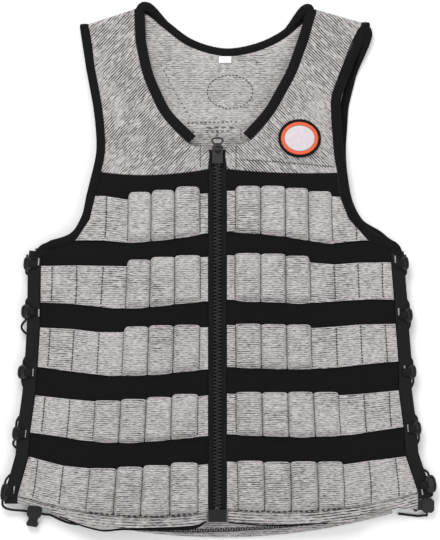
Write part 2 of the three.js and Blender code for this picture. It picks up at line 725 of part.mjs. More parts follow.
// Zip: two tapes, two rows of teeth, slider, puller and end box along the middle of the front
const ZIP_TOP = yOf(YOKE_ROWS.left[YOKE_ROWS.left.length - 1].neckDown);
const ZIP_END = yOf(lineNamed("left", "hem").zip);
const zipHeight = (y) => frontHeight(0, y);
function zipStations(from, to) {
  const stops = DRAPE.map((row) => yOf(row.down)).filter((y) => y < from - 1 && y > to + 1);
  return [from, ...stops, to];
}
function zipTape(side) {
  const sign = SIDES[side];
  const rows = zipStations(ZIP_TOP, ZIP_END).map((y) =>
    [TAPE_OUTER, TAPE_INNER].map((out) => new THREE.Vector3(sign * out, y, zipHeight(y) + TAPE_LIFT)),
  );
  piece(`zip_tape_${side}`, sheet(raised(rows, TAPE_THICK), rows), "tape");
}
const TEETH_LEVEL = TAPE_LIFT + TAPE_THICK + LAYER_GAP;
const SLIDER_TOP = ZIP_TOP + 3.6;
const CHAIN_TOP = SLIDER_TOP - 7;
const CHAIN_END = ZIP_END + END_BOX_LENGTH + GAP;
// A row of teeth: a comb whose back has one point for each block of teeth
const TEETH_BLOCK = 4;
function zipTeeth(side) {
  const sign = SIDES[side];
  const first = side === "left" ? 0 : 1;
  const blocks = Math.floor((CHAIN_TOP - CHAIN_END) / (TOOTH_PITCH * TEETH_BLOCK));
  const steps = TEETH_BLOCK * 2;
  const spot = (out, k) => {
    const y = CHAIN_TOP - (k * TOOTH_PITCH) / 2;
    return new THREE.Vector3(sign * out, y, zipHeight(y) + TEETH_LEVEL);
  };
  const points = [];
  const corners = [];
  const inner = [];
  const outer = [];
  const pair = (p) => points.push(p, p.clone().setZ(p.z + TEETH_THICK)) / 2 - 1;
  for (let k = 0; k <= blocks * steps; k++) {
    const tip = (k + first) % 2 === 0 ? -1 : 1;
    inner.push(pair(spot(GAP + (tip * TOOTH_REACH) / 2, k)));
    if (k % steps === 0) outer.push(pair(spot(CHAIN_HALF, k)));
  }
  const face = (a, b, c) => corners.push(a * 2, b * 2, c * 2, a * 2 + 1, c * 2 + 1, b * 2 + 1);
  const wall = (a, b) =>
    corners.push(a * 2, a * 2 + 1, b * 2 + 1, a * 2, b * 2 + 1, b * 2);
  for (let block = 0; block < blocks; block++) {
    const [from, to] = [outer[block], outer[block + 1]];
    for (let k = 0; k < steps; k++) {
      const [a, b] = [inner[block * steps + k], inner[block * steps + k + 1]];
      face(k < steps / 2 ? from : to, b, a);
      wall(b, a);
      if (k === steps / 2) face(from, to, a);
    }
    wall(from, to);
  }
  wall(inner[0], outer[0]);
  wall(outer[blocks], inner[blocks * steps]);
  piece(`zip_teeth_${side}`, closed(points, corners), "plastic");
}

// Slider: a channel over the teeth with a bridge on top, tilted as the zip runs there
const SLIDER_Y = SLIDER_TOP - SLIDER_LENGTH / 2;
const SLIDER_SLOPE = (zipHeight(SLIDER_Y - 2) - zipHeight(SLIDER_Y + 2)) / 4;
const ACROSS = new THREE.Vector3(1, 0, 0);
const SLIDER_UP = new THREE.Vector3(0, SLIDER_SLOPE, 1).normalize();
const TO_NECK = SLIDER_UP.clone().cross(ACROSS);
const PLATE_LOW = TEETH_LEVEL + TEETH_THICK + GAP;
const PLATE_TOP = PLATE_LOW + SLIDER_THICK;
const onSlider = (toNeck, up) =>
  new THREE.Vector3(0, SLIDER_Y, zipHeight(SLIDER_Y))
    .addScaledVector(TO_NECK, toNeck)
    .addScaledVector(SLIDER_UP, up);
const PIVOT = onSlider(SLIDER_LENGTH / 2 - PIVOT_SET_BACK, PLATE_TOP + PIVOT_RISE);
function slider() {
  const half = SLIDER_WIDTH / 2;
  const room = CHAIN_HALF + GAP;
  const foot = TEETH_LEVEL;
  const right = [[room, foot], [half, foot], [half, PLATE_TOP - 0.6], [half - 0.6, PLATE_TOP]];
  const left = right.map(([a, b]) => [-a, b]).reverse();
  const outline = [[-room, PLATE_LOW], [room, PLATE_LOW], ...right, ...left];
  const channel = extruded(outline, SLIDER_LENGTH, onSlider(0, 0), ACROSS, SLIDER_UP);
  const arc = (radius, turns) =>
    turns.map((turn) => [radius * Math.cos(turn), radius * Math.sin(turn)]);
  const turns = [0, 0.25, 0.5, 0.75, 1].map((share) => share * Math.PI);
  const arch = [
    ...arc(BRIDGE_OUTER, turns),
    [-BRIDGE_OUTER, -PIVOT_RISE - 0.5],
    [-BRIDGE_INNER, -PIVOT_RISE - 0.5],
    ...arc(BRIDGE_INNER, [...turns].reverse()),
    [BRIDGE_INNER, -PIVOT_RISE - 0.5],
    [BRIDGE_OUTER, -PIVOT_RISE - 0.5],
  ];
  const bridge = extruded(arch, BRIDGE_WIDTH, PIVOT, TO_NECK, SLIDER_UP);
  piece("zip_slider", join(channel, bridge), "plastic");
}

// Puller: an eye round the bridge and a loop to hold, lying towards the neck
function puller() {
  const half = PULLER_WIDTH / 2;
  const mirrored = (points) => [...points, ...points.map(([a, b]) => [-a, b]).reverse()];
  const outline = mirrored([
    [half * 0.48, -PULLER_BAR],
    [half * 0.52, PULLER_LENGTH * 0.32],
    [half * 0.75, PULLER_LENGTH * 0.52],
    [half, PULLER_LENGTH * 0.68],
    [half, PULLER_LENGTH * 0.8],
    [half * 0.78, PULLER_LENGTH * 0.94],
    [half * 0.4, PULLER_LENGTH],
  ]);
  const eye = mirrored([
    [BRIDGE_WIDTH / 2 + 2 * GAP, PULLER_BAR],
    [BRIDGE_WIDTH / 2 + 2 * GAP, BRIDGE_OUTER + 2 * GAP],
  ]);
  const loop = mirrored([
    [half * 0.42, PULLER_LENGTH * 0.53],
    [half * 0.72, PULLER_LENGTH * 0.69],
    [half * 0.72, PULLER_LENGTH * 0.77],
    [half * 0.5, PULLER_LENGTH * 0.87],
  ]);
  const made = (points, thick) => extruded(points, thick, PIVOT, ACROSS.clone().negate(), TO_NECK);
  const blank = made(outline, PULLER_THICK);
  const hole = (points) => made(points, PULLER_THICK * 2);
  piece("zip_puller", cut(blank, hole(eye), hole(loop)), "plastic");
}
function endBox() {
  const low = TEETH_LEVEL;
  const rows = zipStations(ZIP_END + END_BOX_LENGTH, ZIP_END).map((y) =>
    [-TAPE_OUTER, TAPE_OUTER].map((x) => new THREE.Vector3(x, y, zipHeight(y) + low)),
  );
  piece("zip_end_box", sheet(raised(rows, END_BOX_THICK), rows), "plastic");
}

// A place on a side edge, and the way off the cloth there
function edgeAt(points, hand, down) {
  const normals = edgeNormals(points, hand);
  const y = yOf(down);
  const i = Math.max(1, points.findIndex((p) => p.y <= y));
  const [a, b] = [points[i - 1], points[i]];
  const share = (y - a.y) / (b.y - a.y);
  const out = normals[i - 1].clone().lerp(normals[i], share).normalize();
  return { point: a.clone().lerp(b, share), out };
}
const FRONT_ENDS = {};
["left", "right"].forEach((side) => {
  FRONT_ENDS[side] = FRONT_LINES[side].slice(4).map((line) => linePoints(side, line).pop());
});
const frontPlace = (side, down) => {
  const { point, out } = edgeAt(FRONT_ENDS[side], SIDES[side], down);
  const at = (a) => onFront(point.clone().addScaledVector(out, a));
  return { inner: at(GAP), outer: at(GAP + STRIP_WIDTH) };
};
const backPlace = (side, down) => {
  const { point, out } = edgeAt(BACK_ENDS[side].slice(2), SIDES[side], down);
  const at = (a) => onBack(point.clone().addScaledVector(out, a));
  return { inner: at(GAP), outer: at(GAP + STRIP_WIDTH - BACK_INSET) };
};

// A strip of webbing edge to edge with the cloth
function webbing(placeAt, downs, thick) {
  const rows = downs.map((down) => {
    const { inner, outer } = placeAt(down);
    return [inner, outer].map((p) => p.clone().setZ(p.z - thick / 2));
  });
  return sheet(raised(rows, thick), rows);
}
function between(points, from, to) {
  const inside = points.map((p) => downOf(p.y)).filter((d) => d > from + 0.004 && d < to - 0.004);
  return [from, ...inside, to];
}
function sideStrip(side) {
  const downs = between(FRONT_ENDS[side], STRIP_TOP, STRIP_END[side]);
  const made = webbing((down) => frontPlace(side, down), downs, STRIP_THICK);
  piece(`side_strip_${side}`, made, "binding");
}

// Hook: a plate on the strip whose outer end turns round the lace. flip is -1 for one under the strip.
function hookFrame({ inner, outer }, side) {
  const across = outer.clone().sub(inner).normalize();
  const tangent = new THREE.Vector3(-across.y, across.x, 0).normalize();
  const up = across.clone().cross(tangent).normalize();
  if (up.z < 0) up.negate();
  const along = across.clone().cross(up).multiplyScalar(side === "left" ? -1 : 1);
  return { origin: outer, across, up, along };
}
function hook(frame, length, stripThick, flip) {
  const plate = stripThick / 2 + GAP;
  const top = plate + HOOK_PLATE;
  const mouth = plate - HOOK_MOUTH;
  const lip = mouth - HOOK_WALL;
  const reach = HOOK_ROOM + HOOK_WALL;
  const outline = [
    [-HOOK_GRIP, plate],
    [HOOK_ROOM, plate],
    [HOOK_ROOM, mouth],
    [HOOK_WALL / 2, mouth],
    [HOOK_WALL / 2, lip],
    [reach - 1.2, lip],
    [reach, lip + 1.2],
    [reach, top - 1.4],
    [reach - 1.4, top],
    [1 - HOOK_GRIP, top],
    [-HOOK_GRIP, top - 1],
  ].map(([a, b]) => [a, b * flip]);
  return extruded(flip > 0 ? outline : outline.reverse(), length, frame.origin, frame.across, frame.up);
}
const frontFrame = (side, index) => hookFrame(frontPlace(side, HOOKS[side][index]), side);
const backFrame = (side, index) => {
  const frame = hookFrame(backPlace(side, BACK_HOOKS[index]), side);
  frame.origin.addScaledVector(frame.up, GAP + BACK_HOOK_SINK);
  return frame;
};
const hookLength = (index) => (index === HOOKS.left.length - 1 ? END_HOOK_LENGTH : HOOK_LENGTH);
function laceHooks(side) {
  HOOKS[side].forEach((_, index) => {
    const made = hook(frontFrame(side, index), hookLength(index), STRIP_THICK, 1);
    piece(`lace_hook_${side}_${index + 1}`, made, "plastic");
  });
}
function backStrip(side) {
  const downs = between(BACK_ENDS[side], BACK_STRIP_TOP, BACK_STRIP_END);
  const strip = webbing((down) => backPlace(side, down), downs, BACK_STRIP_THICK);
  const hooks = BACK_HOOKS.map((_, index) => {
    const frame = backFrame(side, index);
    return hook(frame, BACK_HOOK_LENGTH, BACK_STRIP_THICK, -1);
  });
  piece(`back_lace_strip_${side}`, join(strip, ...hooks), "binding");
}

// Lace: straight through the mouth of each hook in turn, front and back, then through the cord lock
function mouthOf(frame, length, stripThick, flip) {
  const middle = stripThick / 2 + GAP - HOOK_MOUTH / 2;
  const centre = frame.origin
    .clone()
    .addScaledVector(frame.across, HOOK_ROOM * LACE_SEAT)
    .addScaledVector(frame.up, middle * flip);
  const reach = length / 2 + 1;
  const from = centre.clone().addScaledVector(frame.along, -reach);
  const to = centre.clone().addScaledVector(frame.along, reach);
  return { from, to };
}
function lockFrame(side) {
  const { across, down, turn } = LOCKS[side];
  const angle = THREE.MathUtils.degToRad(turn);
  const axis = new THREE.Vector3(Math.cos(angle), Math.sin(angle), 0);
  const origin = new THREE.Vector3(xOf(across), yOf(down), LOCK_SEAT + LOCK_THICK / 2);
  const bore = UP.clone().cross(axis);
  const reach = LOCK_WIDTH / 2 + 1;
  const from = origin.clone().addScaledVector(bore, -reach);
  const to = origin.clone().addScaledVector(bore, reach);
  return { origin, axis, bore, from, to };
}
function placed(points) {
  return points.map(({ across, down, up }) => new THREE.Vector3(xOf(across), yOf(down), up));
}
function roundTube(points, sides) {
  const rings = points.map((p, i) => {
    const ahead = points[Math.min(i + 1, points.length - 1)];
    const forward = ahead.clone().sub(points[Math.max(i - 1, 0)]).normalize();
    const a = forward.clone().cross(UP).normalize();
    const b = a.clone().cross(forward).normalize();
    return [...Array(sides).keys()].map((k) => {
      const turn = (k / sides) * 2 * Math.PI;
      return p
        .clone()
        .addScaledVector(a, (LACE / 2) * Math.cos(turn))
        .addScaledVector(b, (LACE / 2) * Math.sin(turn));
    });
  });
  return tube(rings);
}
// Points of an easy bend between two straight stretches
function bend(last, next, shares) {
  const ease = last.to.distanceTo(next.from) * LACE_EASE;
  const leave = last.to.clone().sub(last.from).setLength(ease).add(last.to);
  const arrive = next.from.clone().sub(next.to).setLength(ease).add(next.from);
  const curve = new THREE.CubicBezierCurve3(last.to, leave, arrive, next.from);
  return shares.map((share) => curve.getPoint(share));
}
function sideLace(side) {
  const mouths = [];
  HOOKS[side].forEach((_, index) => {
    mouths.push(mouthOf(frontFrame(side, index), hookLength(index), STRIP_THICK, 1));
    if (index < BACK_HOOKS.length) {
      mouths.push(mouthOf(backFrame(side, index), BACK_HOOK_LENGTH, BACK_STRIP_THICK, -1));
    }
  });
  const lock = lockFrame(side);
  mouths.push(lock);
  const points = [mouths[0].from, mouths[0].to];
  mouths.slice(1).forEach((mouth, i) => {
    const shares = mouth === lock ? [0.25, 0.5, 0.75] : [0.3, 0.7];
    points.push(...bend(mouths[i], mouth, shares), mouth.from, mouth.to);
  });
  piece(`side_lace_${side}`, roundTube(points, 6), "lace");
  const start = lock.to.clone().addScaledVector(lock.bore, GAP);
  const ahead = start.clone().addScaledVector(lock.bore, LACE);
  const way = new THREE.CatmullRomCurve3([start, ahead, ...placed(LACE_TAILS[side])], false, "centripetal");
  piece(`lace_tail_${side}`, roundTube(way.getPoints(LACE_TAIL_STEPS), 6), "lace");
}

// Cord lock: a flat body with a cross bore and a spring button that slides out of its end
function cordLock(side) {
  const { origin, axis, bore } = lockFrame(side);
  const block = (a0, a1, wide, thick, chamfer) => {
    const half = wide / 2;
    const outline = [
      [a0, -half + chamfer],
      [a0 + chamfer, -half],
      [a1 - chamfer, -half],
      [a1, -half + chamfer],
      [a1, half - chamfer],
      [a1 - chamfer, half],
      [a0 + chamfer, half],
      [a0, half - chamfer],
    ];
    return extruded(outline, thick, origin, axis, bore);
  };
  const room = LOCK_THICK - 2 * LOCK_WALL;
  const wide = LOCK_WIDTH - 4 * LOCK_WALL;
  const boreHalf = LACE / 2 + BORE_EASE;
  const stemEnd = -boreHalf - BUTTON_WALL;
  const inner = stemEnd - BUTTON_TRAVEL - GAP;
  const back = inner - LOCK_WALL;
  const end = back + LOCK_LENGTH;
  const body = block(back, end, LOCK_WIDTH, LOCK_THICK, 3);
  const pocket = block(inner, end + 1, wide, room, 0.4);
  const hole = (from, to, reach) => {
    const outline = [
      [from - boreHalf, 0],
      [from - boreHalf * 0.6, -boreHalf],
      [to + boreHalf * 0.6, -boreHalf],
      [to + boreHalf, 0],
      [to + boreHalf * 0.6, boreHalf],
      [from - boreHalf * 0.6, boreHalf],
    ];
    return extruded(outline, reach, origin, axis, UP);
  };
  piece(`cord_lock_${side}`, cut(body, pocket, hole(0, 0, LOCK_WIDTH * 2)), "plastic");
  const from = end + BUTTON_TRAVEL + GAP;
  const stem = block(stemEnd, from + 1, wide - 2 * GAP, room - 2 * GAP, 0.4);
  const head = block(from, from + BUTTON_HEAD, LOCK_WIDTH - 3, LOCK_THICK - 1, 1.6);
  const made = cut(join(stem, head), hole(0, BUTTON_TRAVEL, LOCK_WIDTH * 2));
  piece(`cord_lock_button_${side}`, made, "plastic");
}

// Round badge on the right yoke: border, ring and centre, each a little apart
function badgeRing(outer, inner, turns) {
  const at = (inset, turn, up) => {
    const x = xOf(BADGE.across) + (BADGE_WIDE / 2 - inset) * Math.cos(turn);
    const y = yOf(BADGE.down) + (BADGE_HIGH / 2 - inset) * Math.sin(turn);
    return new THREE.Vector3(x, y, frontHeight(x, y) + CLOTH + LAYER_GAP + up);
  };
  const points = [];
  const corners = [];
  for (let i = 0; i < turns; i++) {
    const turn = (i / turns) * 2 * Math.PI;
    points.push(at(outer, turn, 0), at(outer, turn, BADGE_THICK));
    points.push(at(inner, turn, BADGE_THICK), at(inner, turn, 0));
    for (let k = 0; k < 4; k++) {
      const a = i * 4 + k;
      const b = i * 4 + ((k + 1) % 4);
      const [c, d] = [a, b].map((n) => (n + 4) % (turns * 4));
      corners.push(a, c, d, a, d, b);
    }
  }
  return closed(points, corners);
}
function badge() {
  const turns = 16;
  const inset = BADGE_BORDER + GAP;
  piece("badge_border", badgeRing(0, BADGE_BORDER, turns), "binding");
  piece("badge_ring", badgeRing(inset, inset + BADGE_RING, turns), "orange");
  const rim = inset + BADGE_RING + GAP;
  const outline = [...Array(turns).keys()].map((i) => {
    const turn = (i / turns) * 2 * Math.PI;
    return [(BADGE_WIDE / 2 - rim) * Math.cos(turn), (BADGE_HIGH / 2 - rim) * Math.sin(turn)];
  });
  const [x, y] = [xOf(BADGE.across), yOf(BADGE.down)];
  const slope = (dx, dy) => (frontHeight(x + dx, y + dy) - frontHeight(x - dx, y - dy)) / (2 * (dx + dy));
  const across = new THREE.Vector3(1, 0, slope(BADGE_WIDE / 5, 0)).normalize();
  const along = new THREE.Vector3(0, 1, slope(0, BADGE_HIGH / 5)).normalize();
  const up = across.clone().cross(along).normalize();
  const height = frontHeight(x, y) + CLOTH + LAYER_GAP + BADGE_THICK / 2;
  const disc = extruded(outline, BADGE_THICK, new THREE.Vector3(x, y, height), across, up.cross(across));
  piece("badge_centre", disc, "pale");
}
function sizeLabel() {
  const [x, y] = [xOf(LABEL.across), yOf(LABEL.down)];
  const z = backField(LABEL.down) + CLOTH + GAP;
  const rows = [1, -1].map((v) =>
    [-1, 1].map((u) => new THREE.Vector3(x + (u * LABEL_WIDE) / 2, y + (v * LABEL_HIGH) / 2, z)),
  );
  piece("size_label", sheet(raised(rows, LABEL_THICK), rows), "label");
}

["left", "right"].forEach((side) => {
  frontBase(side);
  frontHem(side);
  for (let row = 1; row <= LOADED[side].length; row++) pocketRow(side, row);
  yoke(side);
  armholeBinding(side);
  zipTape(side);
  zipTeeth(side);
  sideStrip(side);
  laceHooks(side);
  backStrip(side);
  sideLace(side);
  cordLock(side);
});
slider();
puller();
endBox();
badge();
sizeLabel();
backPanel();
BACK_ROWS.forEach(backPockets);
neckBinding();

// Stand the vest on the surface, centred on its own outline
vest.updateMatrixWorld(true);
const outline = new THREE.Box3().setFromObject(vest);
const centre = outline.getCenter(new THREE.Vector3());
vest.position.set(-centre.x, -centre.y, -outline.min.z);

export default vest;
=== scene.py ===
"""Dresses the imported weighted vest: knit cloth, sewn pockets, bindings, zip, lacing and badge.

Places are in vest millimetres: x from the zip, y from halfway down, z from the surface that the vest lies on.
Tables hold shares of HALF_WIDTH and BODY_LENGTH, or pixels of the photograph where their name says PX.
"""
import math

import bpy
import numpy as np
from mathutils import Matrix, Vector


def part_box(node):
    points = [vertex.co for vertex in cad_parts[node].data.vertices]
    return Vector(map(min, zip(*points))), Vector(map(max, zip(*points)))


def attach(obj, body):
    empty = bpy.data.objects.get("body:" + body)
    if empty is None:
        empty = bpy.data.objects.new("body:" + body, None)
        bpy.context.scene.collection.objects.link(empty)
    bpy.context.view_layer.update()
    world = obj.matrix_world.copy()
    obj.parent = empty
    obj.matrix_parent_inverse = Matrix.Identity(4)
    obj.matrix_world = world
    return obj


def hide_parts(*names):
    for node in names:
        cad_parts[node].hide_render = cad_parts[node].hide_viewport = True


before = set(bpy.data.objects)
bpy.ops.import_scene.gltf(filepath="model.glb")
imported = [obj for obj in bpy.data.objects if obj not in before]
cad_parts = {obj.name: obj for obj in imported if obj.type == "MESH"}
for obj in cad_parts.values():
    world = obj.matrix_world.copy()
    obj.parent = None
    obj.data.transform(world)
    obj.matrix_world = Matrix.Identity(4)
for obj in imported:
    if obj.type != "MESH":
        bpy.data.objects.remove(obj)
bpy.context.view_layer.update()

MM = 0.001
PIXEL = 1.2
ZIP_PX = 217.5
HALFWAY_PX = 270.0
PHOTO_CENTRE_PX = (220.0, 270.0)
PHOTO_HEIGHT_PX = 540.0

# Sizes of the vest
BODY_LENGTH = 648.0
HALF_WIDTH = 264.0
FRONT_RISE = 30.0
BACK_RISE = 8.6
CLOTH = 2.2
GAP = 0.3
LAYER_GAP = 0.5
BINDING_THICK = 3.4
NECK_BINDING = 12.4
BACK_NECK_BINDING = 9.6
ARM_BINDING = 10.6
FOLD_RADIUS = 4.2
FOLD_BOTTOM = 0.8
POCKET_BULGE = 7.6
POCKET_FLAT = 1.5
TAPE_OUTER = 11.0
TAPE_INNER = 2.6
TAPE_THICK = 1.2
TAPE_LIFT = 0.4
TOOTH_PITCH = 4.2
CHAIN_HALF = 4.8
TEETH_THICK = 2.6
END_BOX_LENGTH = 15.0
STRIP_WIDTH = 15.6
STRIP_THICK = 3.0
BACK_STRIP_THICK = 2.2
BACK_INSET = 1.2
HOOK_LENGTH = 19.0
END_HOOK_LENGTH = 22.0
BACK_HOOK_LENGTH = 13.0
BACK_HOOK_SINK = 0.2
HOOK_MOUTH = 4.9
HOOK_ROOM = 5.0
LACE = 2.8
LACE_SEAT = 0.62
LACE_EASE = 0.35
LOCK_WIDTH = 17.0
LOCK_THICK = 9.4
LOCK_SEAT = 0.2
BADGE_WIDE = 51.6
BADGE_HIGH = 46.2
BADGE_BORDER = 3.0
BADGE_RING = 4.0
BADGE_THICK = 1.4
CLOTH_START = TAPE_OUTER + GAP

SIDES = {"left": -1, "right": 1}


def table(keys, rows):
    """Rows of values, each as a dictionary with these keys."""
    return [dict(zip(keys.split(), row)) for row in rows]


# Heights of the front's edge and ridge as shares of FRONT_RISE, and its spread as a share of HALF_WIDTH
SHOULDER_LOFT = (FOLD_BOTTOM + 2 * FOLD_RADIUS - CLOTH) / FRONT_RISE
DRAPE = table("down edge ridge spread", [
    (0.0, SHOULDER_LOFT, SHOULDER_LOFT, 0.66),
    (0.06, SHOULDER_LOFT, SHOULDER_LOFT * 1.1, 0.64),
    (0.12, 0.27, 0.46, 0.62),
    (0.2, 0.3, 0.68, 0.6),
    (0.3, 0.33, 0.92, 0.6),
    (0.38, 0.34, 0.98, 0.63),
    (0.43, 0.36, 1.0, 0.69),
    (0.47, 0.38, 1.0, 0.8),
    (0.75, 0.38, 1.0, 0.83),
    (0.84, 0.38, 0.98, 0.86),
    (0.91, 0.38, 0.92, 0.905),
    (1.0, 0.38, 0.74, 0.92),
])
ARCH_POWER = 2.6

# Lines across the front: how far down they are at the zip, halfway and at the side, and where they end
LINE_KEYS = "name zip middle side reach"
FRONT_LINES = {
    "left": table(LINE_KEYS, [
        ("seam", 0.314, 0.325, 0.319, 0.53),
        ("row1_top", 0.358, 0.362, 0.363, 0.557),
        ("row1_mid", 0.395, 0.406, 0.406, 0.582),
        ("row1_bottom", 0.432, 0.448, 0.444, 0.643),
        ("underarm", 0.456, 0.474, 0.466, 0.798),
        ("row2_top", 0.478, 0.492, 0.494, 0.805),
        ("row2_bottom", 0.556, 0.572, 0.561, 0.807),
        ("row3_top", 0.606, 0.613, 0.606, 0.809),
        ("row3_bottom", 0.681, 0.695, 0.681, 0.82),
        ("row4_top", 0.731, 0.743, 0.731, 0.83),
        ("row4_bottom", 0.806, 0.819, 0.803, 0.855),
        ("row5_top", 0.856, 0.87, 0.846, 0.861),
        ("row5_bottom", 0.946, 0.952, 0.919, 0.911),
        ("hem", 0.965, 0.98, 0.934, 0.911),
    ]),
    "right": table(LINE_KEYS, [
        ("seam", 0.314, 0.321, 0.32, 0.545),
        ("row1_top", 0.355, 0.356, 0.365, 0.559),
        ("row1_mid", 0.392, 0.398, 0.405, 0.598),
        ("row1_bottom", 0.43, 0.441, 0.444, 0.684),
        ("underarm", 0.45, 0.463, 0.463, 0.789),
        ("row2_top", 0.474, 0.483, 0.486, 0.791),
        ("row2_bottom", 0.555, 0.562, 0.556, 0.805),
        ("row3_top", 0.602, 0.604, 0.598, 0.811),
        ("row3_bottom", 0.679, 0.683, 0.671, 0.825),
        ("row4_top", 0.728, 0.728, 0.721, 0.825),
        ("row4_bottom", 0.804, 0.809, 0.792, 0.848),
        ("row5_top", 0.853, 0.859, 0.844, 0.857),
        ("row5_bottom", 0.941, 0.943, 0.913, 0.914),
        ("hem", 0.965, 0.969, 0.944, 0.916),
    ]),
}

# Rows of each yoke from the shoulder fold down: the armhole end and the neck or zip end
YOKE_KEYS = "arm arm_down neck neck_down"
YOKE_ROWS = {
    "left": table(YOKE_KEYS, [
        (0.589, 0.042, 0.38, 0.014),
        (0.57, 0.089, 0.377, 0.067),
        (0.561, 0.12, 0.361, 0.102),
        (0.543, 0.159, 0.339, 0.139),
        (0.525, 0.2, 0.302, 0.176),
        (0.515, 0.237, 0.248, 0.217),
        (0.511, 0.269, 0.132, 0.266),
        (0.516, 0.293, 0.043, 0.278),
    ]),
    "right": table(YOKE_KEYS, [
        (0.657, 0.039, 0.452, 0.015),
        (0.602, 0.085, 0.418, 0.069),
        (0.575, 0.115, 0.391, 0.1),
        (0.548, 0.143, 0.359, 0.135),
        (0.518, 0.18, 0.311, 0.172),
        (0.518, 0.219, 0.252, 0.213),
        (0.525, 0.259, 0.152, 0.26),
        (0.532, 0.291, 0.043, 0.276),
    ]),
}

# The sewn pocket strips. STITCH_PX holds each seam from the zip outwards. EDGE_PX is a strip's own top edge
# and BOTTOM_PX its lower edge, as points. RISEN_PX holds the tops of the loaded pockets, from the zip.
ROW_MIDDLE_PX = [218, 285, 350, 417, 487]
STITCH_PX = {
    "left": [
        [200, 175, 151.5, 128.5, 106.5],
        [200.5, 175, 150.5, 127, 102.5, 77, 52],
        [199.5, 173.5, 148.5, 123.5, 98.5, 73, 49],
        [197.5, 171.5, 146, 120.5, 95, 69, 43],
        [198, 170, 142.3, 115.7, 88.8, 61.2, 34.5],
    ],
    "right": [
        [235.5, 260.5, 285, 308, 331.5, 356],
        [235, 260.5, 285.5, 310, 334.5, 358.5, 382.5],
        [236, 261, 286.5, 311, 336.5, 361.5, 387],
        [236, 262, 288, 314, 339, 365, 390.5],
        [238, 264.5, 291, 318, 344, 371, 399],
    ],
}
EDGE_PX = {
    "left": [
        [(208, 193.8), (188, 195), (163, 197.5), (128.5, 200), (104, 196)],
        [(208, 257), (175, 259), (150.5, 262.5), (127, 266.3), (77, 265.5), (42, 266)],
        [(208, 327), (173.5, 328.5), (148.5, 329), (123.5, 332), (98.5, 332), (73, 329), (42, 327.8)],
        [(208, 394.7), (171.5, 398.5), (146, 401), (120.5, 402), (95, 401), (69, 399), (34, 395.5)],
        [(208, 463), (170, 467.5), (143.5, 469), (117.5, 470.5), (91, 468), (63, 465.5), (29, 457.5)],
    ],
    "right": [
        [(227, 191.5), (260, 190.5), (285, 191), (308, 193), (331.5, 196.5), (345, 197.3)],
        [(227, 255.4), (260, 256.7), (285.5, 257.5), (310, 262.6), (334.5, 264.6), (358, 262.8),
         (391, 262.4)],
        [(227, 324.7), (286, 327), (311, 328), (336, 326.5), (361, 324.5), (398, 324)],
        [(227, 393), (262, 394.5), (314, 395), (339, 395), (365, 393.5), (402, 390.5)],
        [(227, 460.5), (264, 463.5), (318, 464.5), (344, 464), (371, 460.5), (410, 456.7)],
    ],
}
BOTTOM_PX = {
    "left": [
        [(208, 233.3), (175, 238.5), (151.5, 241), (128, 242.8), (105, 240.6), (80, 240.4)],
        [(208, 301), (188, 302.3), (163, 305.2), (139, 307.6), (115, 308.3), (90, 305.5),
         (64, 303.3), (42, 302.5)],
        [(208, 368.7), (186, 370.4), (161, 373.5), (136, 374.6), (111, 375.5), (86, 373),
         (61, 370), (38, 367)],
        [(208, 435), (184.5, 436.9), (159, 439.6), (133, 441.6), (108, 441.6), (82, 439.8),
         (56, 436), (31, 433)],
    ],
    "right": [
        [(227, 231.8), (260, 233.6), (285, 236.3), (308, 240.3), (331.5, 243.6), (345, 242), (362, 240.3)],
        [(227, 299.3), (248, 301), (273, 301.5), (298, 303), (322, 302.2), (346, 300.4),
         (370, 299.2), (391, 299.6)],
        [(227, 366.2), (274, 367.9), (299, 368.4), (324, 368.1), (349, 366), (374, 363.3), (400, 361.5)],
        [(227, 433.3), (275, 435), (301, 436.1), (326.5, 435.3), (352, 434.3), (378, 430.6), (406, 427)],
    ],
}
RISEN_PX = {
    "left": [
        [186.9, 190.3, 192.2],
        [255.3, 257, 259.6],
        [324.5, 325, 326.2],
        [393.3, 396.3, 398.4, 400],
        [461.5, 464.3, 465.9, 467.6],
    ],
    "right": [
        [186.3, 186.2, 188.2, 191.4],
        [253.2, 253.8, 255.8],
        [323.4, 323.9, 324.3],
        [391.3, 391.6, 391.2, 391.6],
        [459.8, 460.8, 460.6, 460.9],
    ],
}
HEM_PX = {
    "left": [(206, 520.5), (196, 524.5), (154, 527), (121, 528), (104, 529.6), (90, 527), (76, 522.6),
             (59, 515.6), (45, 508.5), (31, 506), (17, 504)],
    "right": [(228, 521), (262, 524), (318, 522.6), (350, 521), (358, 518), (367, 512.8), (381, 508.5),
              (395, 509.5), (419, 510)],
}

# The back: neck edge between the shoulders, side edges, hem, heights and the loaded rows on its outside
BACK_NECK = table("across down", [
    (-0.32, 0.025),
    (-0.25, 0.048),
    (-0.13, 0.083),
    (0.03, 0.101),
    (0.18, 0.092),
    (0.3, 0.07),
    (0.38, 0.044),
])
BACK_EDGES = table("down left right margin", [
    (0.093, 0.561, 0.616, 0.05),
    (0.139, 0.543, 0.593, 0.05),
    (0.194, 0.516, 0.561, 0.05),
    (0.226, 0.505, 0.555, 0.05),
    (0.281, 0.505, 0.548, 0.05),
    (0.333, 0.527, 0.559, 0.05),
    (0.38, 0.557, 0.584, 0.05),
    (0.419, 0.589, 0.639, 0.06),
    (0.446, 0.652, 0.739, 0.08),
    (0.474, 0.78, 0.79, 0.1),
    (0.556, 0.795, 0.795, 0.1),
    (0.807, 0.839, 0.836, 0.1),
    (0.889, 0.873, 0.873, 0.1),
    (0.92, 0.872, 0.88, 0.1),
    (0.934, 0.762, 0.8, 0.02),
])
BACK_HEM = {"zip": 0.953, "middle": 0.9985, "side": 0.953}
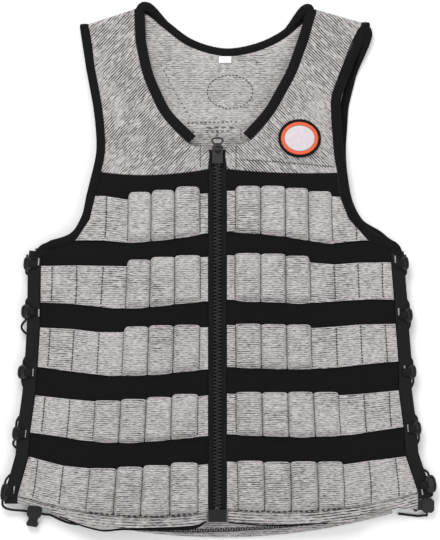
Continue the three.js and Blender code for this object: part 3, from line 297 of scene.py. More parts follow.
BACK_DRAPE = table("down edge field", [
    (0.0, 0.093, 0.093),
    (0.194, 0.093, 0.1),
    (0.226, 0.12, 1.0),
    (0.42, 0.2, 1.0),
    (0.474, 0.385, 1.0),
    (0.9, 0.385, 1.0),
    (0.945, 0.3, 1.0),
    (0.965, 0.15, 0.3),
    (1.0, 0.1, 0.1),
])
BACK_ROWS = table("top bottom left right", [
    (0.236, 0.318, 0.445, 0.488),
    (0.354, 0.442, 0.49, 0.51),
    (0.478, 0.561, 0.67, 0.67),
    (0.606, 0.685, 0.69, 0.69),
    (0.731, 0.809, 0.71, 0.71),
    (0.857, 0.932, 0.73, 0.73),
])

# Lacing: hooks and strips by how far down they are, locks by place and turn, tails by place and height in mm
HOOKS = {
    "left": [0.489, 0.578, 0.69, 0.802, 0.917],
    "right": [0.489, 0.584, 0.69, 0.797, 0.903],
}
BACK_HOOKS = [0.533, 0.639, 0.748, 0.852]
STRIP_TOP = 0.471
STRIP_END = {"left": 0.934, "right": 0.925}
BACK_STRIP_TOP = 0.479
BACK_STRIP_END = 0.872
LOCKS = {
    "left": {"across": -0.838, "down": 0.952, "turn": -100},
    "right": {"across": 0.957, "down": 0.9385, "turn": 180},
}
LACE_TAILS = {
    "left": [(-0.765, 0.957, 3.6), (-0.72, 0.966, 2.0), (-0.67, 0.973, 1.7), (-0.61, 0.975, 1.7)],
    "right": [(0.948, 0.9575, 3.6), (0.92, 0.959, 2.0), (0.872, 0.957, 1.7), (0.828, 0.955, 1.7)],
}
BADGE = {"across": 0.373, "down": 0.2565}

# Lace hooks: how far out each reaches, and its middle. The pale bar that sews each down is listed with it.
HOOK_PX = {
    "left": [(26.5, 264.5), (20.5, 312), (17, 373.5), (11.5, 435), (1.5, 494.5)],
    "right": [(406.5, 264), (411.5, 316), (417, 372.5), (421, 430), (437, 487)],
}
TACK_PX = {
    "left": [(38.3, 262), (38.5, 313), (32.5, 373), (25, 434.5), (13.5, 491)],
    "right": [(395.5, 259.5), (399, 312), (405, 369.7), (408.5, 429), (422.5, 492.5)],
}
# Rounded ends of the bindings on the shoulders: middle of the roll from above, and half its width
ROLLS = {
    "neck_left": {
        "line": [(139.6, 18), (139.7, 9.5), (142.6, 5.2), (147, 5.4), (152.5, 9.3), (159.5, 15.8),
                 (169, 24.8)],
        "half": 5.6,
    },
    "neck_right": {
        "line": [(307, 20), (310.4, 11), (309.4, 6.6), (304.8, 8), (299, 14.6), (291, 24.5), (281, 35)],
        "half": 5.2,
    },
    "arm_right": {
        "line": [(356.5, 41), (361.5, 31), (366, 27), (369.2, 31.5), (367.4, 40), (362.5, 53),
                 (357.5, 66), (351, 86)],
        "half": 4.8,
    },
}
# Sewn lines on the yokes and inside the back, with the length and pitch of their stitches
YOKE_SEAMS_PX = {
    "left": [[(200.6, 145), (200.6, 169)]],
    "right": [[(236, 143), (236, 168)], [(240, 160.2), (275, 162), (305, 164.4), (335, 166.6)]],
}
BACK_SEAMS_PX = [
    {"line": [(205, 127), (235, 127)], "length": 6.5, "pitch": 9},
    {"line": [(205, 131.6), (232, 130.4)], "length": 3.4, "pitch": 6},
    {"line": [(186, 122.6), (214, 121.6), (241, 121)], "length": 2.4, "pitch": 5.2},
    {"line": [(193, 129), (193, 139)], "length": 2.6, "pitch": 4.2},
    {"line": [(217, 128.5), (217, 137)], "length": 4.2, "pitch": 5},
    {"line": [(241, 128), (241, 139)], "length": 2.6, "pitch": 4.2},
    {"line": [(160, 62), (176, 93), (190, 116)], "length": 1.8, "pitch": 6.4},
]
BACK_OVAL_PX = {"x": 230, "y": 90.5, "wide": 22.8, "high": 16.8}
OVERLOCK_PX = [(136, 529.4), (156, 530.8), (176, 532), (205, 532), (250, 530), (290, 527), (318, 524.4)]


def x_of(across):
    return across * HALF_WIDTH


def y_of(down):
    return (0.5 - down) * BODY_LENGTH


def down_of(y):
    return 0.5 - y / BODY_LENGTH


def line_named(side, name):
    return next(line for line in FRONT_LINES[side] if line["name"] == name)


# The vest's own zero in the row frame, from the zip's place there
SLIDER_LOW, SLIDER_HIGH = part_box("zip_slider")
TAPE_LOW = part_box("zip_tape_left")[0]
ORIGIN = np.array([
    (SLIDER_LOW.x + SLIDER_HIGH.x) / 2 / MM,
    TAPE_LOW.y / MM - y_of(line_named("left", "hem")["zip"]),
    0.0,
])


def photo(px, py):
    """A place in the photograph, on the vest."""
    return (px - ZIP_PX) * PIXEL, (HALFWAY_PX - py) * PIXEL


def photo_line(points):
    return np.array([photo(px, py) for px, py in points])


def placed(points):
    """Vest millimetres to metres in the row frame."""
    return (np.asarray(points, float) + ORIGIN) * MM


def read(rows, down, key):
    """A column of a table, read between its rows."""
    return np.interp(down, [row["down"] for row in rows], [row[key] for row in rows])


def front_height(x, y):
    """Underside of the front cloth over the surface."""
    down = down_of(np.asarray(y, float))
    edge = read(DRAPE, down, "edge")
    ridge = read(DRAPE, down, "ridge")
    out = np.minimum(1, np.abs(x) / x_of(read(DRAPE, down, "spread")))
    return FRONT_RISE * (edge + (ridge - edge) * (1 - out ** ARCH_POWER))


def smooth_step(low, high, value):
    t = np.clip((value - low) / (high - low), 0, 1)
    return t * t * (3 - 2 * t)


def full_turn(count):
    """Angles once round a circle, evenly spaced."""
    return np.arange(count) / count * 2 * math.pi


def eased(count):
    """Shares from 0 to 1 that lie closer together at both ends."""
    return (1 - np.cos(np.linspace(0, math.pi, count))) / 2


def units(vectors):
    """Each vector at a length of 1."""
    return vectors / np.linalg.norm(vectors, axis=1)[:, None]


def rumple(x, y, size, seed):
    """Soft bumps from -1 to 1, about that size across, the same for the same seed."""
    cells = np.random.default_rng(seed).uniform(-1, 1, (64, 64))
    u, v = np.asarray(x) / size + 1000, np.asarray(y) / size + 1000
    i, j = np.floor(u).astype(int), np.floor(v).astype(int)
    a, b = u - i, v - j
    a, b = a * a * (3 - 2 * a), b * b * (3 - 2 * b)
    i, j, k, m = i % 64, j % 64, (i + 1) % 64, (j + 1) % 64
    low = cells[i, j] * (1 - a) + cells[k, j] * a
    high = cells[i, m] * (1 - a) + cells[k, m] * a
    return low * (1 - b) + high * b


def waves(x, y, kinds):
    """Bumps of several kinds added up: the height, size and seed of each."""
    return sum(height * rumple(x, y, size, seed) for height, size, seed in kinds)


def distances(points):
    """How far along a chain of points each of them is."""
    return np.concatenate([[0], np.cumsum(np.linalg.norm(np.diff(points, axis=0), axis=1))])


def at_distance(points, far, at):
    """Places that are as far as that along a chain of points."""
    return np.stack([np.interp(at, far, points[:, k]) for k in range(points.shape[1])], axis=-1)


def curve(points, count):
    """A smooth curve through points, as that many points evenly spaced along it."""
    points = np.asarray(points, float)
    before, after = 2 * points[0] - points[1], 2 * points[-1] - points[-2]
    held = np.vstack([before, points, after])
    times = np.concatenate([[0], np.cumsum(np.linalg.norm(np.diff(held, axis=0), axis=1) ** 0.5)])
    fine = []
    for i in range(1, len(held) - 2):
        t0, t1, t2, t3 = times[i - 1:i + 3]
        p0, p1, p2, p3 = held[i - 1:i + 3]
        t = np.linspace(t1, t2, 24)[:, None]
        a1 = p0 + (p1 - p0) * (t - t0) / (t1 - t0)
        a2 = p1 + (p2 - p1) * (t - t1) / (t2 - t1)
        a3 = p2 + (p3 - p2) * (t - t2) / (t3 - t2)
        b1 = a1 + (a2 - a1) * (t - t0) / (t2 - t0)
        b2 = a2 + (a3 - a2) * (t - t1) / (t3 - t1)
        fine.append(b1 + (b2 - b1) * (t - t1) / (t2 - t1))
    return spaced(np.vstack(fine), count)


def spaced(points, count):
    """Points along a chain of straight stretches, evenly spaced."""
    points = np.asarray(points, float)
    far = distances(points)
    return at_distance(points, far, np.linspace(0, far[-1], count))


def refined(grid, rows, columns):
    """A lattice of points made finer by smooth curves down and then across it."""
    grid = np.asarray(grid, float)
    down = np.stack([curve_at_knots(grid[:, c], rows) for c in range(grid.shape[1])], axis=1)
    return np.stack([curve_at_knots(down[r], columns) for r in range(rows)])


def curve_at_knots(points, count):
    """A smooth curve whose parameter runs evenly from knot to knot."""
    last = len(points) - 1
    held = np.vstack([2 * points[0] - points[1], points, 2 * points[-1] - points[-2]])
    at = np.linspace(0, last, count)
    i = np.minimum(np.floor(at).astype(int), last - 1)
    t = (at - i)[:, None]
    p0, p1, p2, p3 = held[i], held[i + 1], held[i + 2], held[i + 3]
    slope0, slope1 = (p2 - p0) / 2, (p3 - p1) / 2
    return (
        (2 * t**3 - 3 * t**2 + 1) * p1
        + (t**3 - 2 * t**2 + t) * slope0
        + (3 * t**2 - 2 * t**3) * p2
        + (t**3 - t**2) * slope1
    )


# Meshes
def mesh_piece(name, points, faces, material, body="root", smooth=True, rib=None):
    """One object. rib gives each point's distance across the knit's ribs."""
    mesh = bpy.data.meshes.new(name)
    mesh.from_pydata(placed(points).tolist(), [], [list(map(int, f)) for f in faces])
    if rib is not None:
        mesh.attributes.new("rib", "FLOAT", "POINT").data.foreach_set("value", rib)
    mesh.validate()
    mesh.materials.append(material)
    mesh.polygons.foreach_set("use_smooth", [smooth] * len(mesh.polygons))
    made = bpy.data.objects.new(name, mesh)
    bpy.context.scene.collection.objects.link(made)
    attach(made, body)
    return made


def outward(points, faces):
    """Turns the faces of a closed form to face out."""
    volume = 0.0
    for f in faces:
        a = points[f[0]]
        for k in range(1, len(f) - 1):
            volume += np.dot(a, np.cross(points[f[k]], points[f[k + 1]]))
    return [f[::-1] for f in faces] if volume < 0 else faces


def sheet_parts(top, bottom):
    """Points and faces of a sheet with thickness: two grids, joined round their rims."""
    rows, columns = top.shape[:2]
    index = np.arange(rows * columns).reshape(rows, columns)
    a, b = index[:-1, :-1].ravel(), index[:-1, 1:].ravel()
    c, d = index[1:, 1:].ravel(), index[1:, :-1].ravel()
    layer = rows * columns
    upper = np.stack([a, b, c, d], axis=1)
    lower = np.stack([a, d, c, b], axis=1) + layer
    rim = np.concatenate([index[0, :-1], index[:-1, -1], index[-1, :0:-1], index[:0:-1, 0]])
    onward = np.roll(rim, -1)
    walls = np.stack([rim, rim + layer, onward + layer, onward], axis=1)
    faces = np.concatenate([upper, lower, walls])
    points = np.concatenate([top.reshape(-1, 3), bottom.reshape(-1, 3)])
    first, second, third = (points[faces[:, k]] for k in range(3))
    fourth = points[faces[:, 3]]
    volume = (first * np.cross(second, third)).sum() + (first * np.cross(third, fourth)).sum()
    return points, faces[:, ::-1] if volume < 0 else faces


def sheet_piece(name, top, bottom, material, rib=None):
    ribs = None if rib is None else np.tile(np.asarray(rib, float).ravel(), 2)
    return mesh_piece(name, *sheet_parts(top, bottom), material, rib=ribs)


def tube_parts(rings):
    """Points and faces of a closed tube through rings of as many points each."""
    rings = np.asarray(rings, float)
    count, sides = rings.shape[:2]
    index = np.arange(count * sides).reshape(count, sides)
    onward = np.roll(index, -1, axis=1)
    faces = np.stack([index[:-1], onward[:-1], onward[1:], index[1:]], axis=-1).reshape(-1, 4).tolist()
    faces += [index[0, ::-1].tolist(), index[-1].tolist()]
    points = rings.reshape(-1, 3)
    return points, outward(points, faces)


def loop_parts(rings):
    """Points and faces of a closed loop: rings that come back to the first one."""
    rings = np.asarray(rings, float)
    index = np.arange(rings.shape[0] * rings.shape[1]).reshape(rings.shape[:2])
    onward = np.roll(index, -1, axis=1)
    faces = np.stack([index, onward, np.roll(onward, -1, axis=0), np.roll(index, -1, axis=0)], axis=-1)
    points = rings.reshape(-1, 3)
    return points, outward(points, faces.reshape(-1, 4).tolist())


def tube_piece(name, rings, material):
    return mesh_piece(name, *tube_parts(rings), material)


def joined_piece(name, parts, material, body="root", smooth=True):
    """Many small closed forms as one piece."""
    points, faces, start = [], [], 0
    for some, their in parts:
        points.append(some)
        faces += [[start + k for k in f] for f in their]
        start += len(some)
    return mesh_piece(name, np.concatenate(points), faces, material, body, smooth)


def round_rings(centres, radius, sides):
    """Circles round a centreline, each square to it."""
    centres = np.asarray(centres, float)
    ahead = units(np.gradient(centres, axis=0))
    across = np.cross(ahead, (0.0, 0.0, 1.0))
    upright = np.linalg.norm(across, axis=1) < 1e-6
    across[upright] = (1, 0, 0)
    across = units(across)
    upward = np.cross(across, ahead)
    radius = np.broadcast_to(radius, len(centres))[:, None]
    return np.stack([
        centres + radius * (across * math.cos(turn) + upward * math.sin(turn)) for turn in full_turn(sides)
    ], axis=1)


# One stitch, a short thread with blunt ends that dip into the cloth: share of its length, width and lift
STITCH_SHAPE = [(-0.5, 0.35, -0.5), (-0.3, 0.95, 0.1), (0.0, 1.0, 0.35), (0.3, 0.95, 0.1), (0.5, 0.35, -0.5)]
STITCH_SIDES = 5
# Kinds of stitch: length, pitch and thickness of the thread
STITCH = {
    "closed": (3.0, 3.5, 1.15),
    "first": (2.5, 3.8, 1.6),
    "open": (2.5, 3.8, 1.4),
    "foot": (4.8, 6.6, 1.7),
    "yoke": (2.1, 3.4, 1.15),
    "oval": (2.6, 4.4, 1.0),
}


def stitch(line, thick):
    """One stitch through the five places of its shape."""
    line[:, 2] += [lift * thick for _, _, lift in STITCH_SHAPE]
    radius = np.array([wide * thick / 2 for _, wide, _ in STITCH_SHAPE])
    return tube_parts(round_rings(line, radius, STITCH_SIDES))


def stitches(centres, length, pitch, thick):
    """Stitches along a line that lies on the cloth."""
    far = distances(centres)
    starts = np.arange(pitch / 2, far[-1] - length / 2, pitch)
    spots = [[start + share * length for share, _, _ in STITCH_SHAPE] for start in starts]
    return [stitch(at_distance(centres, far, at), thick) for at in spots]


def slanted(centres, length, pitch, lean, thick):
    """Stitches that cross a line at a slant, to either side in turn."""
    far = distances(centres)
    parts = []
    for k, start in enumerate(np.arange(pitch, far[-1] - pitch, pitch)):
        turn = math.radians(90 + (lean if k % 2 else -lean))
        reach = np.array([math.cos(turn), math.sin(turn), 0]) * length
        middle = at_distance(centres, far, start)
        parts.append(stitch(np.array([middle + reach * share for share, _, _ in STITCH_SHAPE]), thick))
    return parts


# Materials
def material(name, roughness, specular=0.5, sheen=0.0, sheen_rough=0.5, coat=0.0, coat_rough=0.1):
    made = bpy.data.materials.new(name)
    made.use_nodes = True
    shader = made.node_tree.nodes["Principled BSDF"]
    shader.inputs["Roughness"].default_value = roughness
    shader.inputs["Specular IOR Level"].default_value = specular
    shader.inputs["Sheen Weight"].default_value = sheen
    shader.inputs["Sheen Roughness"].default_value = sheen_rough
    shader.inputs["Coat Weight"].default_value = coat
    shader.inputs["Coat Roughness"].default_value = coat_rough
    return made


class Nodes:
    """Short ways to add shader nodes to one material."""

    def __init__(self, made):
        self.tree = made.node_tree
        self.shader = self.tree.nodes["Principled BSDF"]
        self.place = self.tree.nodes.new("ShaderNodeTexCoord").outputs["Object"]

    def new(self, kind, inputs=(), **settings):
        node = self.tree.nodes.new(kind)
        for key, value in settings.items():
            setattr(node, key, value)
        for key, value in dict(inputs).items():
            if isinstance(value, bpy.types.NodeSocket):
                self.tree.links.new(value, node.inputs[key])
            else:
                node.inputs[key].default_value = value
        return node

    def math(self, operation, a, b=0.0, clamp=False):
        return self.new("ShaderNodeMath", {0: a, 1: b}, operation=operation, use_clamp=clamp).outputs[0]

    def turned(self, degrees, scale=(1000, 1000, 1000)):
        """The place in millimetres, turned about Z so that X runs along a direction."""
        spun = self.new(
            "ShaderNodeVectorRotate",
            {"Vector": self.place, "Angle": math.radians(-degrees)},
            rotation_type="Z_AXIS",
        ).outputs[0]
        return self.new("ShaderNodeVectorMath", {0: spun, 1: scale}, operation="MULTIPLY").outputs[0]

    def noise(self, vector, scale, detail=2.0, roughness=0.5):
        inputs = {"Vector": vector, "Scale": scale, "Detail": detail, "Roughness": roughness}
        return self.new("ShaderNodeTexNoise", inputs).outputs[0]

    def range(self, value, low, high, out_low=0.0, out_high=1.0):
        inputs = {"Value": value, "From Min": low, "From Max": high, "To Min": out_low, "To Max": out_high}
        return self.new("ShaderNodeMapRange", inputs).outputs[0]

    def waves(self, across, vector, pitch, wander):
        """Waves from 0 to 1 along a distance, that many millimetres apart, which wander by some of them."""
        if wander:
            across = self.math("ADD", across, self.math("MULTIPLY", self.noise(vector, 0.05), wander))
        return self.range(self.math("SINE", self.math("MULTIPLY", across, 2 * math.pi / pitch)), -1, 1)

    def lines(self, vector, pitch, wander=0.0, axis=1):
        """Waves across an axis."""
        across = self.new("ShaderNodeSeparateXYZ", {0: vector}).outputs[axis]
        return self.waves(across, vector, pitch, wander)

    def mix(self, factor, a, b):
        """A colour between two."""
        return self.new("ShaderNodeMix", {0: factor, 6: (*a, 1), 7: (*b, 1)}, data_type="RGBA").outputs[2]

    def paint(self, colour):
        self.tree.links.new(colour, self.shader.inputs["Base Color"])

    def rough(self, value):
        self.tree.links.new(value, self.shader.inputs["Roughness"])

    def bump(self, height, strength, distance):
        inputs = {"Height": height, "Strength": strength, "Distance": distance * MM}
        normal = self.new("ShaderNodeBump", inputs).outputs[0]
        self.tree.links.new(normal, self.shader.inputs["Normal"])


BLACK = (0.004, 0.0037, 0.004)
PLASTIC_DARK = (0.004, 0.0038, 0.0042)
PLASTIC_WORN = (0.009, 0.0083, 0.0093)
HEATHER_LIGHT = (0.56, 0.53, 0.53)
HEATHER_DARK = (0.035, 0.031, 0.032)
KNIT_PITCH = 2.6


def heather(name, degrees, contrast, follows=False, pitch=KNIT_PITCH):
    """Light grey knit whose dark yarn shows between its ribs, broken up along them."""
    made = material(name, 0.92, specular=0.15, sheen=0.1, sheen_rough=0.6)
    n = Nodes(made)
    place = n.turned(degrees)
    if follows:
        held = n.new("ShaderNodeAttribute", attribute_name="rib").outputs["Fac"]
        rib = n.waves(held, place, pitch, wander=1.6)
    else:
        rib = n.lines(place, pitch, wander=2.2)
    streaks = n.noise(n.turned(degrees, (90, 700, 300)), 1.0, detail=3)
    flecks = n.noise(n.turned(degrees, (200, 950, 400)), 1.0, detail=2, roughness=0.6)
    patches = n.noise(place, 0.022, detail=2)
    depth = n.range(patches, 0.36, 0.66, 0.3, 1.0)
    groove = n.range(rib, 0.62, 0.22)
    broken = n.range(streaks, 0.34, 0.56)
    lines = n.math("MULTIPLY", n.math("MULTIPLY", groove, broken), n.math("MULTIPLY", depth, contrast))
    speckle = n.range(flecks, 0.38, 0.68, 0.0, 0.62)
    dark = n.math("ADD", n.math("MULTIPLY", lines, 0.85), speckle, clamp=True)
    n.paint(n.mix(dark, HEATHER_LIGHT, HEATHER_DARK))
    height = n.math("SUBTRACT", rib, n.math("MULTIPLY", speckle, 0.6))
    n.bump(height, 0.6, 0.5)
    return made


def black_cloth():
    """Plain black jersey with fine wales."""
    made = material("black_jersey_and_painted_shade", 0.9, specular=0.08, sheen=0.02)
    n = Nodes(made)
    place = n.turned(0)
    wales = n.lines(place, 1.1, wander=0.6, axis=0)
    lint = n.noise(place, 0.9, detail=3)
    n.paint(n.mix(n.range(lint, 0.35, 0.75), (0.0045, 0.0041, 0.0046), (0.0085, 0.0078, 0.0088)))
    n.bump(wales, 0.35, 0.25)
    return made


def binding_cloth():
    """Black elastic binding: a close rib across its run, a little shine on the fold."""
    made = material("black_binding", 0.75, specular=0.08, sheen=0.02)
    n = Nodes(made)
    place = n.turned(0)
    grain = n.noise(place, 1.4, detail=3)
    n.paint(n.mix(n.range(grain, 0.35, 0.7), BLACK, (0.008, 0.0072, 0.0082)))
    n.rough(n.range(grain, 0.3, 0.7, 0.62, 0.85))
    n.bump(grain, 0.4, 0.3)
    return made


def woven(made, pitch, grain, dark, pale, strength, depth):
    """Weaves a material with close ribs across it."""
    n = Nodes(made)
    place = n.turned(0)
    ribs = n.lines(place, pitch)
    n.paint(n.mix(n.math("MULTIPLY", ribs, n.noise(place, grain, detail=2)), dark, pale))
    n.bump(ribs, strength, depth)
    return made


def webbing_cloth():
    """Black woven strip."""
    made = material("black_strip", 0.7, specular=0.16, sheen=0.03)
    return woven(made, 1.3, 1.1, BLACK, (0.012, 0.011, 0.0125), 0.5, 0.35)


def tape_cloth():
    """Woven zip tape."""
    made = material("zip_tape", 0.75, specular=0.14)
    return woven(made, 1.2, 1.3, (0.006, 0.0055, 0.006), (0.013, 0.012, 0.013), 0.4, 0.3)


def plastic(name, roughness, shade=1.0):
    """Black moulded plastic with a faint orange-peel skin and a few rubbed spots."""
    made = material(name, roughness, specular=0.34, coat=0.06, coat_rough=0.25)
    n = Nodes(made)
    place = n.turned(0)
    skin = n.noise(place, 0.9, detail=3)
    wear = n.noise(place, 0.12, detail=3)
    low, high = ([part * shade for part in colour] for colour in (PLASTIC_DARK, PLASTIC_WORN))
    n.paint(n.mix(n.range(wear, 0.4, 0.7), low, high))
    n.rough(n.range(wear, 0.3, 0.75, roughness, roughness + 0.18))
    n.bump(skin, 0.12, 0.2)
    return made


def lace_cord():
    """Braided elastic cord: yarns that cross in a fine diamond."""
    made = material("braided_lace", 0.6, specular=0.16, sheen=0.03)
    n = Nodes(made)
    one = n.lines(n.turned(38), 1.3)
    two = n.lines(n.turned(-38), 1.3)
    braid = n.math("MAXIMUM", one, two)
    n.paint(n.mix(braid, BLACK, (0.011, 0.01, 0.011)))
    n.bump(braid, 0.6, 0.3)
    return made


def thread(name, colour):
    made = material(name, 0.55, specular=0.45, sheen=0.1)
    n = Nodes(made)
    twist = n.lines(n.turned(35), 0.5)
    dim = tuple(c * 0.6 for c in colour)
    n.paint(n.mix(twist, dim, colour))
    n.bump(twist, 0.4, 0.1)
    return made


def embroidered(name, colour, degrees):
    """Badge cloth: satin stitches side by side."""
    made = material(name, 0.55, specular=0.35, sheen=0.15)
    n = Nodes(made)
    place = n.turned(degrees)
    rows = n.lines(place, 0.8, wander=0.3)
    tone = n.noise(place, 0.3, detail=2)
    dim = tuple(c * 0.78 for c in colour)
    n.paint(n.mix(n.math("MULTIPLY", rows, n.range(tone, 0.2, 0.6)), dim, colour))
    n.bump(rows, 0.4, 0.25)
    return made


def label_cloth():
    made = material("label_satin", 0.5, specular=0.4)
    n = Nodes(made)
    weave = n.lines(n.turned(0), 0.5)
    n.paint(n.mix(weave, (0.72, 0.71, 0.72), (0.85, 0.84, 0.85)))
    n.bump(weave, 0.2, 0.1)
    return made


def floor_card():
    made = material("white_card", 0.8, specular=0.1)
    n = Nodes(made)
    grain = n.noise(n.turned(0), 0.02, detail=2)
    n.paint(n.mix(grain, (0.94, 0.94, 0.94), (0.95, 0.95, 0.95)))
    return made


# Camera, floor and light
LENS = 130.0
SENSOR = 36.0
LOOK_LEVEL = 20.0
FLOOR_HALF = 6.0
FLOOR_DROP = 0.0008
WORLD_POWER = 0.8
# Soft boxes: place in metres, size and power
SOFTBOXES = {"softbox_neck": ((-0.5, 1.5, 1.7), 1.1, 30), "softbox_hem": ((1.3, -1.0, 1.9), 1.2, 10)}


def camera():
    data = bpy.data.cameras.new("camera")
    data.lens = LENS
    data.sensor_width = SENSOR
    made = bpy.data.objects.new("camera", data)
    away = PHOTO_HEIGHT_PX * PIXEL * LENS / SENSOR
    x, y = photo(*PHOTO_CENTRE_PX)
    made.location = placed((x, y, LOOK_LEVEL + away))
    bpy.context.scene.collection.objects.link(made)
    bpy.context.scene.camera = made


def stage():
    mesh = bpy.data.meshes.new("floor")
    corners = [(x * FLOOR_HALF, y * FLOOR_HALF, 0) for x, y in ((-1, -1), (1, -1), (1, 1), (-1, 1))]
    mesh.from_pydata(corners, [], [(0, 1, 2, 3)])
    mesh.materials.append(floor_card())
    floor = bpy.data.objects.new("floor", mesh)
    floor.location.z = -FLOOR_DROP
    bpy.context.scene.collection.objects.link(floor)


def area_light(name, place, size, power):
    data = bpy.data.lights.new(name, "AREA")
    data.size = size
    data.energy = power
    made = bpy.data.objects.new(name, data)
    made.location = place
    made.rotation_mode = "QUATERNION"
    made.rotation_quaternion = (-Vector(place)).to_track_quat("-Z", "Y")
    bpy.context.scene.collection.objects.link(made)


def light():
    world = bpy.data.worlds.new("studio")
    world.use_nodes = True
    background = world.node_tree.nodes["Background"]
    background.inputs[0].default_value = (1, 1, 1, 1)
    background.inputs[1].default_value = WORLD_POWER
    bpy.context.scene.world = world
    for name, settings in SOFTBOXES.items():
        area_light(name, *settings)
    bpy.context.scene.view_settings.view_transform = "Standard"


# Places on the cloth's edges
def line_y(line, share):
    a, b, c = (y_of(line[key]) for key in ("zip", "middle", "side"))
    return 2 * a * (share - 0.5) * (share - 1) - 4 * b * share * (share - 1) + 2 * c * share * (share - 0.5)


def line_x(side, reach, share):
    """Places across the front cloth, which starts beside the zip tape."""
    return SIDES[side] * (CLOTH_START + (x_of(reach) - CLOTH_START) * share)


def yoke_edge(side, end):
    """The armhole or neck edge of a yoke, from the shoulder fold down."""
    return [np.array([SIDES[side] * x_of(row[end]), y_of(row[f"{end}_down"])]) for row in YOKE_ROWS[side]]


def line_end(side, line):
    return np.array([SIDES[side] * x_of(line["reach"]), line_y(line, 1.0)])


def edge_normals(points, hand):
    """The way off the cloth at each point of an edge that is walked with the cloth on the given hand."""
    steps = units(np.diff(points[:, :2], axis=0))
    off = np.stack([-steps[:, 1] * hand, steps[:, 0] * hand], axis=1)
    both = np.zeros((len(points), 2))
    both[:-1] += off
    both[1:] += off
    return np.concatenate([units(both), np.zeros((len(points), 1))], axis=1)


def on_front(points):
    points = np.array(points, float)
    points[..., 2] = front_height(points[..., 0], points[..., 1]) + CLOTH / 2
    return points


def flat(points):
    """Plane points with room for a height."""
    points = np.asarray(points, float)
    return np.concatenate([points[..., :2], np.zeros((*points.shape[:-1], 1))], axis=-1)


def back_grid():
    """The lattice of the back, as in the model."""
    shares = [0, 0.5, 1]

    def shoulder(side, order):
        arm, neck = yoke_edge(side, "arm")[0], yoke_edge(side, "neck")[0]
        return [arm + (neck - arm) * s - (0, FOLD_RADIUS + GAP) for s in order]

    neck = [np.array([x_of(p["across"]), y_of(p["down"])]) for p in BACK_NECK]
    top = np.array([*shoulder("left", shares), *neck, *shoulder("right", shares[::-1])])
    first, final = top[1, 0], top[-2, 0]
    across = (top[:, 0] - first) / (final - first)

    def row(edge, y_at):
        left, right = -x_of(edge["left"]), x_of(edge["right"])
        margin = x_of(edge["margin"])
        made = []
        for c, share in enumerate(across):
            if c == 0:
                made.append((left, y_at(0.0)))
            elif c == len(across) - 1:
                made.append((right, y_at(1.0)))
            else:
                x = left + margin + (right - left - 2 * margin) * share
                made.append((x, y_at((x - left) / (right - left))))
        return np.array(made)

    rows = [row(edge, lambda _, edge=edge: y_of(edge["down"])) for edge in BACK_EDGES]
    neck_low = max(p["down"] for p in BACK_NECK)
    below = [r for r in rows if down_of(r[1, 1]) > neck_low + 0.02]
    above = rows[0].copy()
    above[1:-1] = (above[1:-1] + top[1:-1]) / 2
    above[1:-1, 1] = (below[0][1:-1, 1] + top[1:-1, 1]) / 2
    hem = row(BACK_EDGES[-1], lambda share: line_y(BACK_HEM, share))
    grid = flat([top, above, *below, hem])
    down = down_of(grid[..., 1])
    grid[..., 2] = BACK_RISE * read(BACK_DRAPE, down, "field")
    for c in (0, -1):
        grid[:, c, 2] = BACK_RISE * read(BACK_DRAPE, down[:, c], "edge")
    return grid


BACK = back_grid()
BACK_ENDS = {"left": BACK[:, 0], "right": BACK[:, -1]}
FRONT_ENDS = {side: flat([line_end(side, line) for line in FRONT_LINES[side][4:]]) for side in SIDES}


def edge_at(points, hand, down):
    """A place on a side edge, and the way off the cloth there."""
    normals = edge_normals(points, hand)
    y = y_of(down)
    i = max(1, next((k for k, p in enumerate(points) if p[1] <= y), len(points) - 1))
    a, b = points[i - 1], points[i]
    share = (y - a[1]) / (b[1] - a[1])
    out = normals[i - 1] + (normals[i] - normals[i - 1]) * share
    return a + (b - a) * share, out / np.linalg.norm(out)


def front_place(side, down):
    point, out = edge_at(FRONT_ENDS[side], SIDES[side], down)
    return [on_front(point + out * a) for a in (GAP, GAP + STRIP_WIDTH)]


def back_place(side, down):
    point, out = edge_at(BACK_ENDS[side][2:], SIDES[side], down)
    lift = np.array([0, 0, CLOTH / 2])
    return [point + out * a + lift for a in (GAP, GAP + STRIP_WIDTH - BACK_INSET)]


def hook_frame(inner, outer, side):
    across = (outer - inner) / np.linalg.norm(outer - inner)
    tangent = np.array([-across[1], across[0], 0])
    tangent /= np.linalg.norm(tangent)
    up = np.cross(across, tangent)
    up /= np.linalg.norm(up) * (1 if up[2] > 0 else -1)
    along = np.cross(across, up) * (-1 if side == "left" else 1)
    return {"origin": outer, "across": across, "up": up, "along": along}


def front_frame(side, down):
    return hook_frame(*front_place(side, down), side)


def back_hook(side, index):
    made = hook_frame(*back_place(side, BACK_HOOKS[index]), side)
    made["origin"] = made["origin"] + made["up"] * (GAP + BACK_HOOK_SINK)
    return made


def hook_length(index):
    return END_HOOK_LENGTH if index == len(HOOKS["left"]) - 1 else HOOK_LENGTH


def mouth_centre(place, strip_thick, flip):
    """Middle of a hook's mouth, over the strip or, with a flip of -1, under it."""
    middle = strip_thick / 2 + GAP - HOOK_MOUTH / 2
    seat = HOOK_ROOM * LACE_SEAT - LACE_INWARD["front" if flip > 0 else "back"]
    return place["origin"] + place["across"] * seat + place["up"] * middle * flip


def mouth(place, length, strip_thick, flip):
    """Where the lace runs straight through a hook."""
    centre = mouth_centre(place, strip_thick, flip)
    reach = place["along"] * (length / 2 + 1)
    return centre - reach, centre + reach


def lock_frame(side):
    place = LOCKS[side]
    angle = math.radians(place["turn"])
    axis = np.array([math.cos(angle), math.sin(angle), 0])
    origin = np.array([x_of(place["across"]), y_of(place["down"]), LOCK_SEAT + LOCK_THICK / 2])
    bore = np.cross((0, 0, 1), axis)
    reach = bore * (LOCK_WIDTH / 2 + 1)
    return {"origin": origin, "axis": axis, "bore": bore, "from": origin - reach, "to": origin + reach}


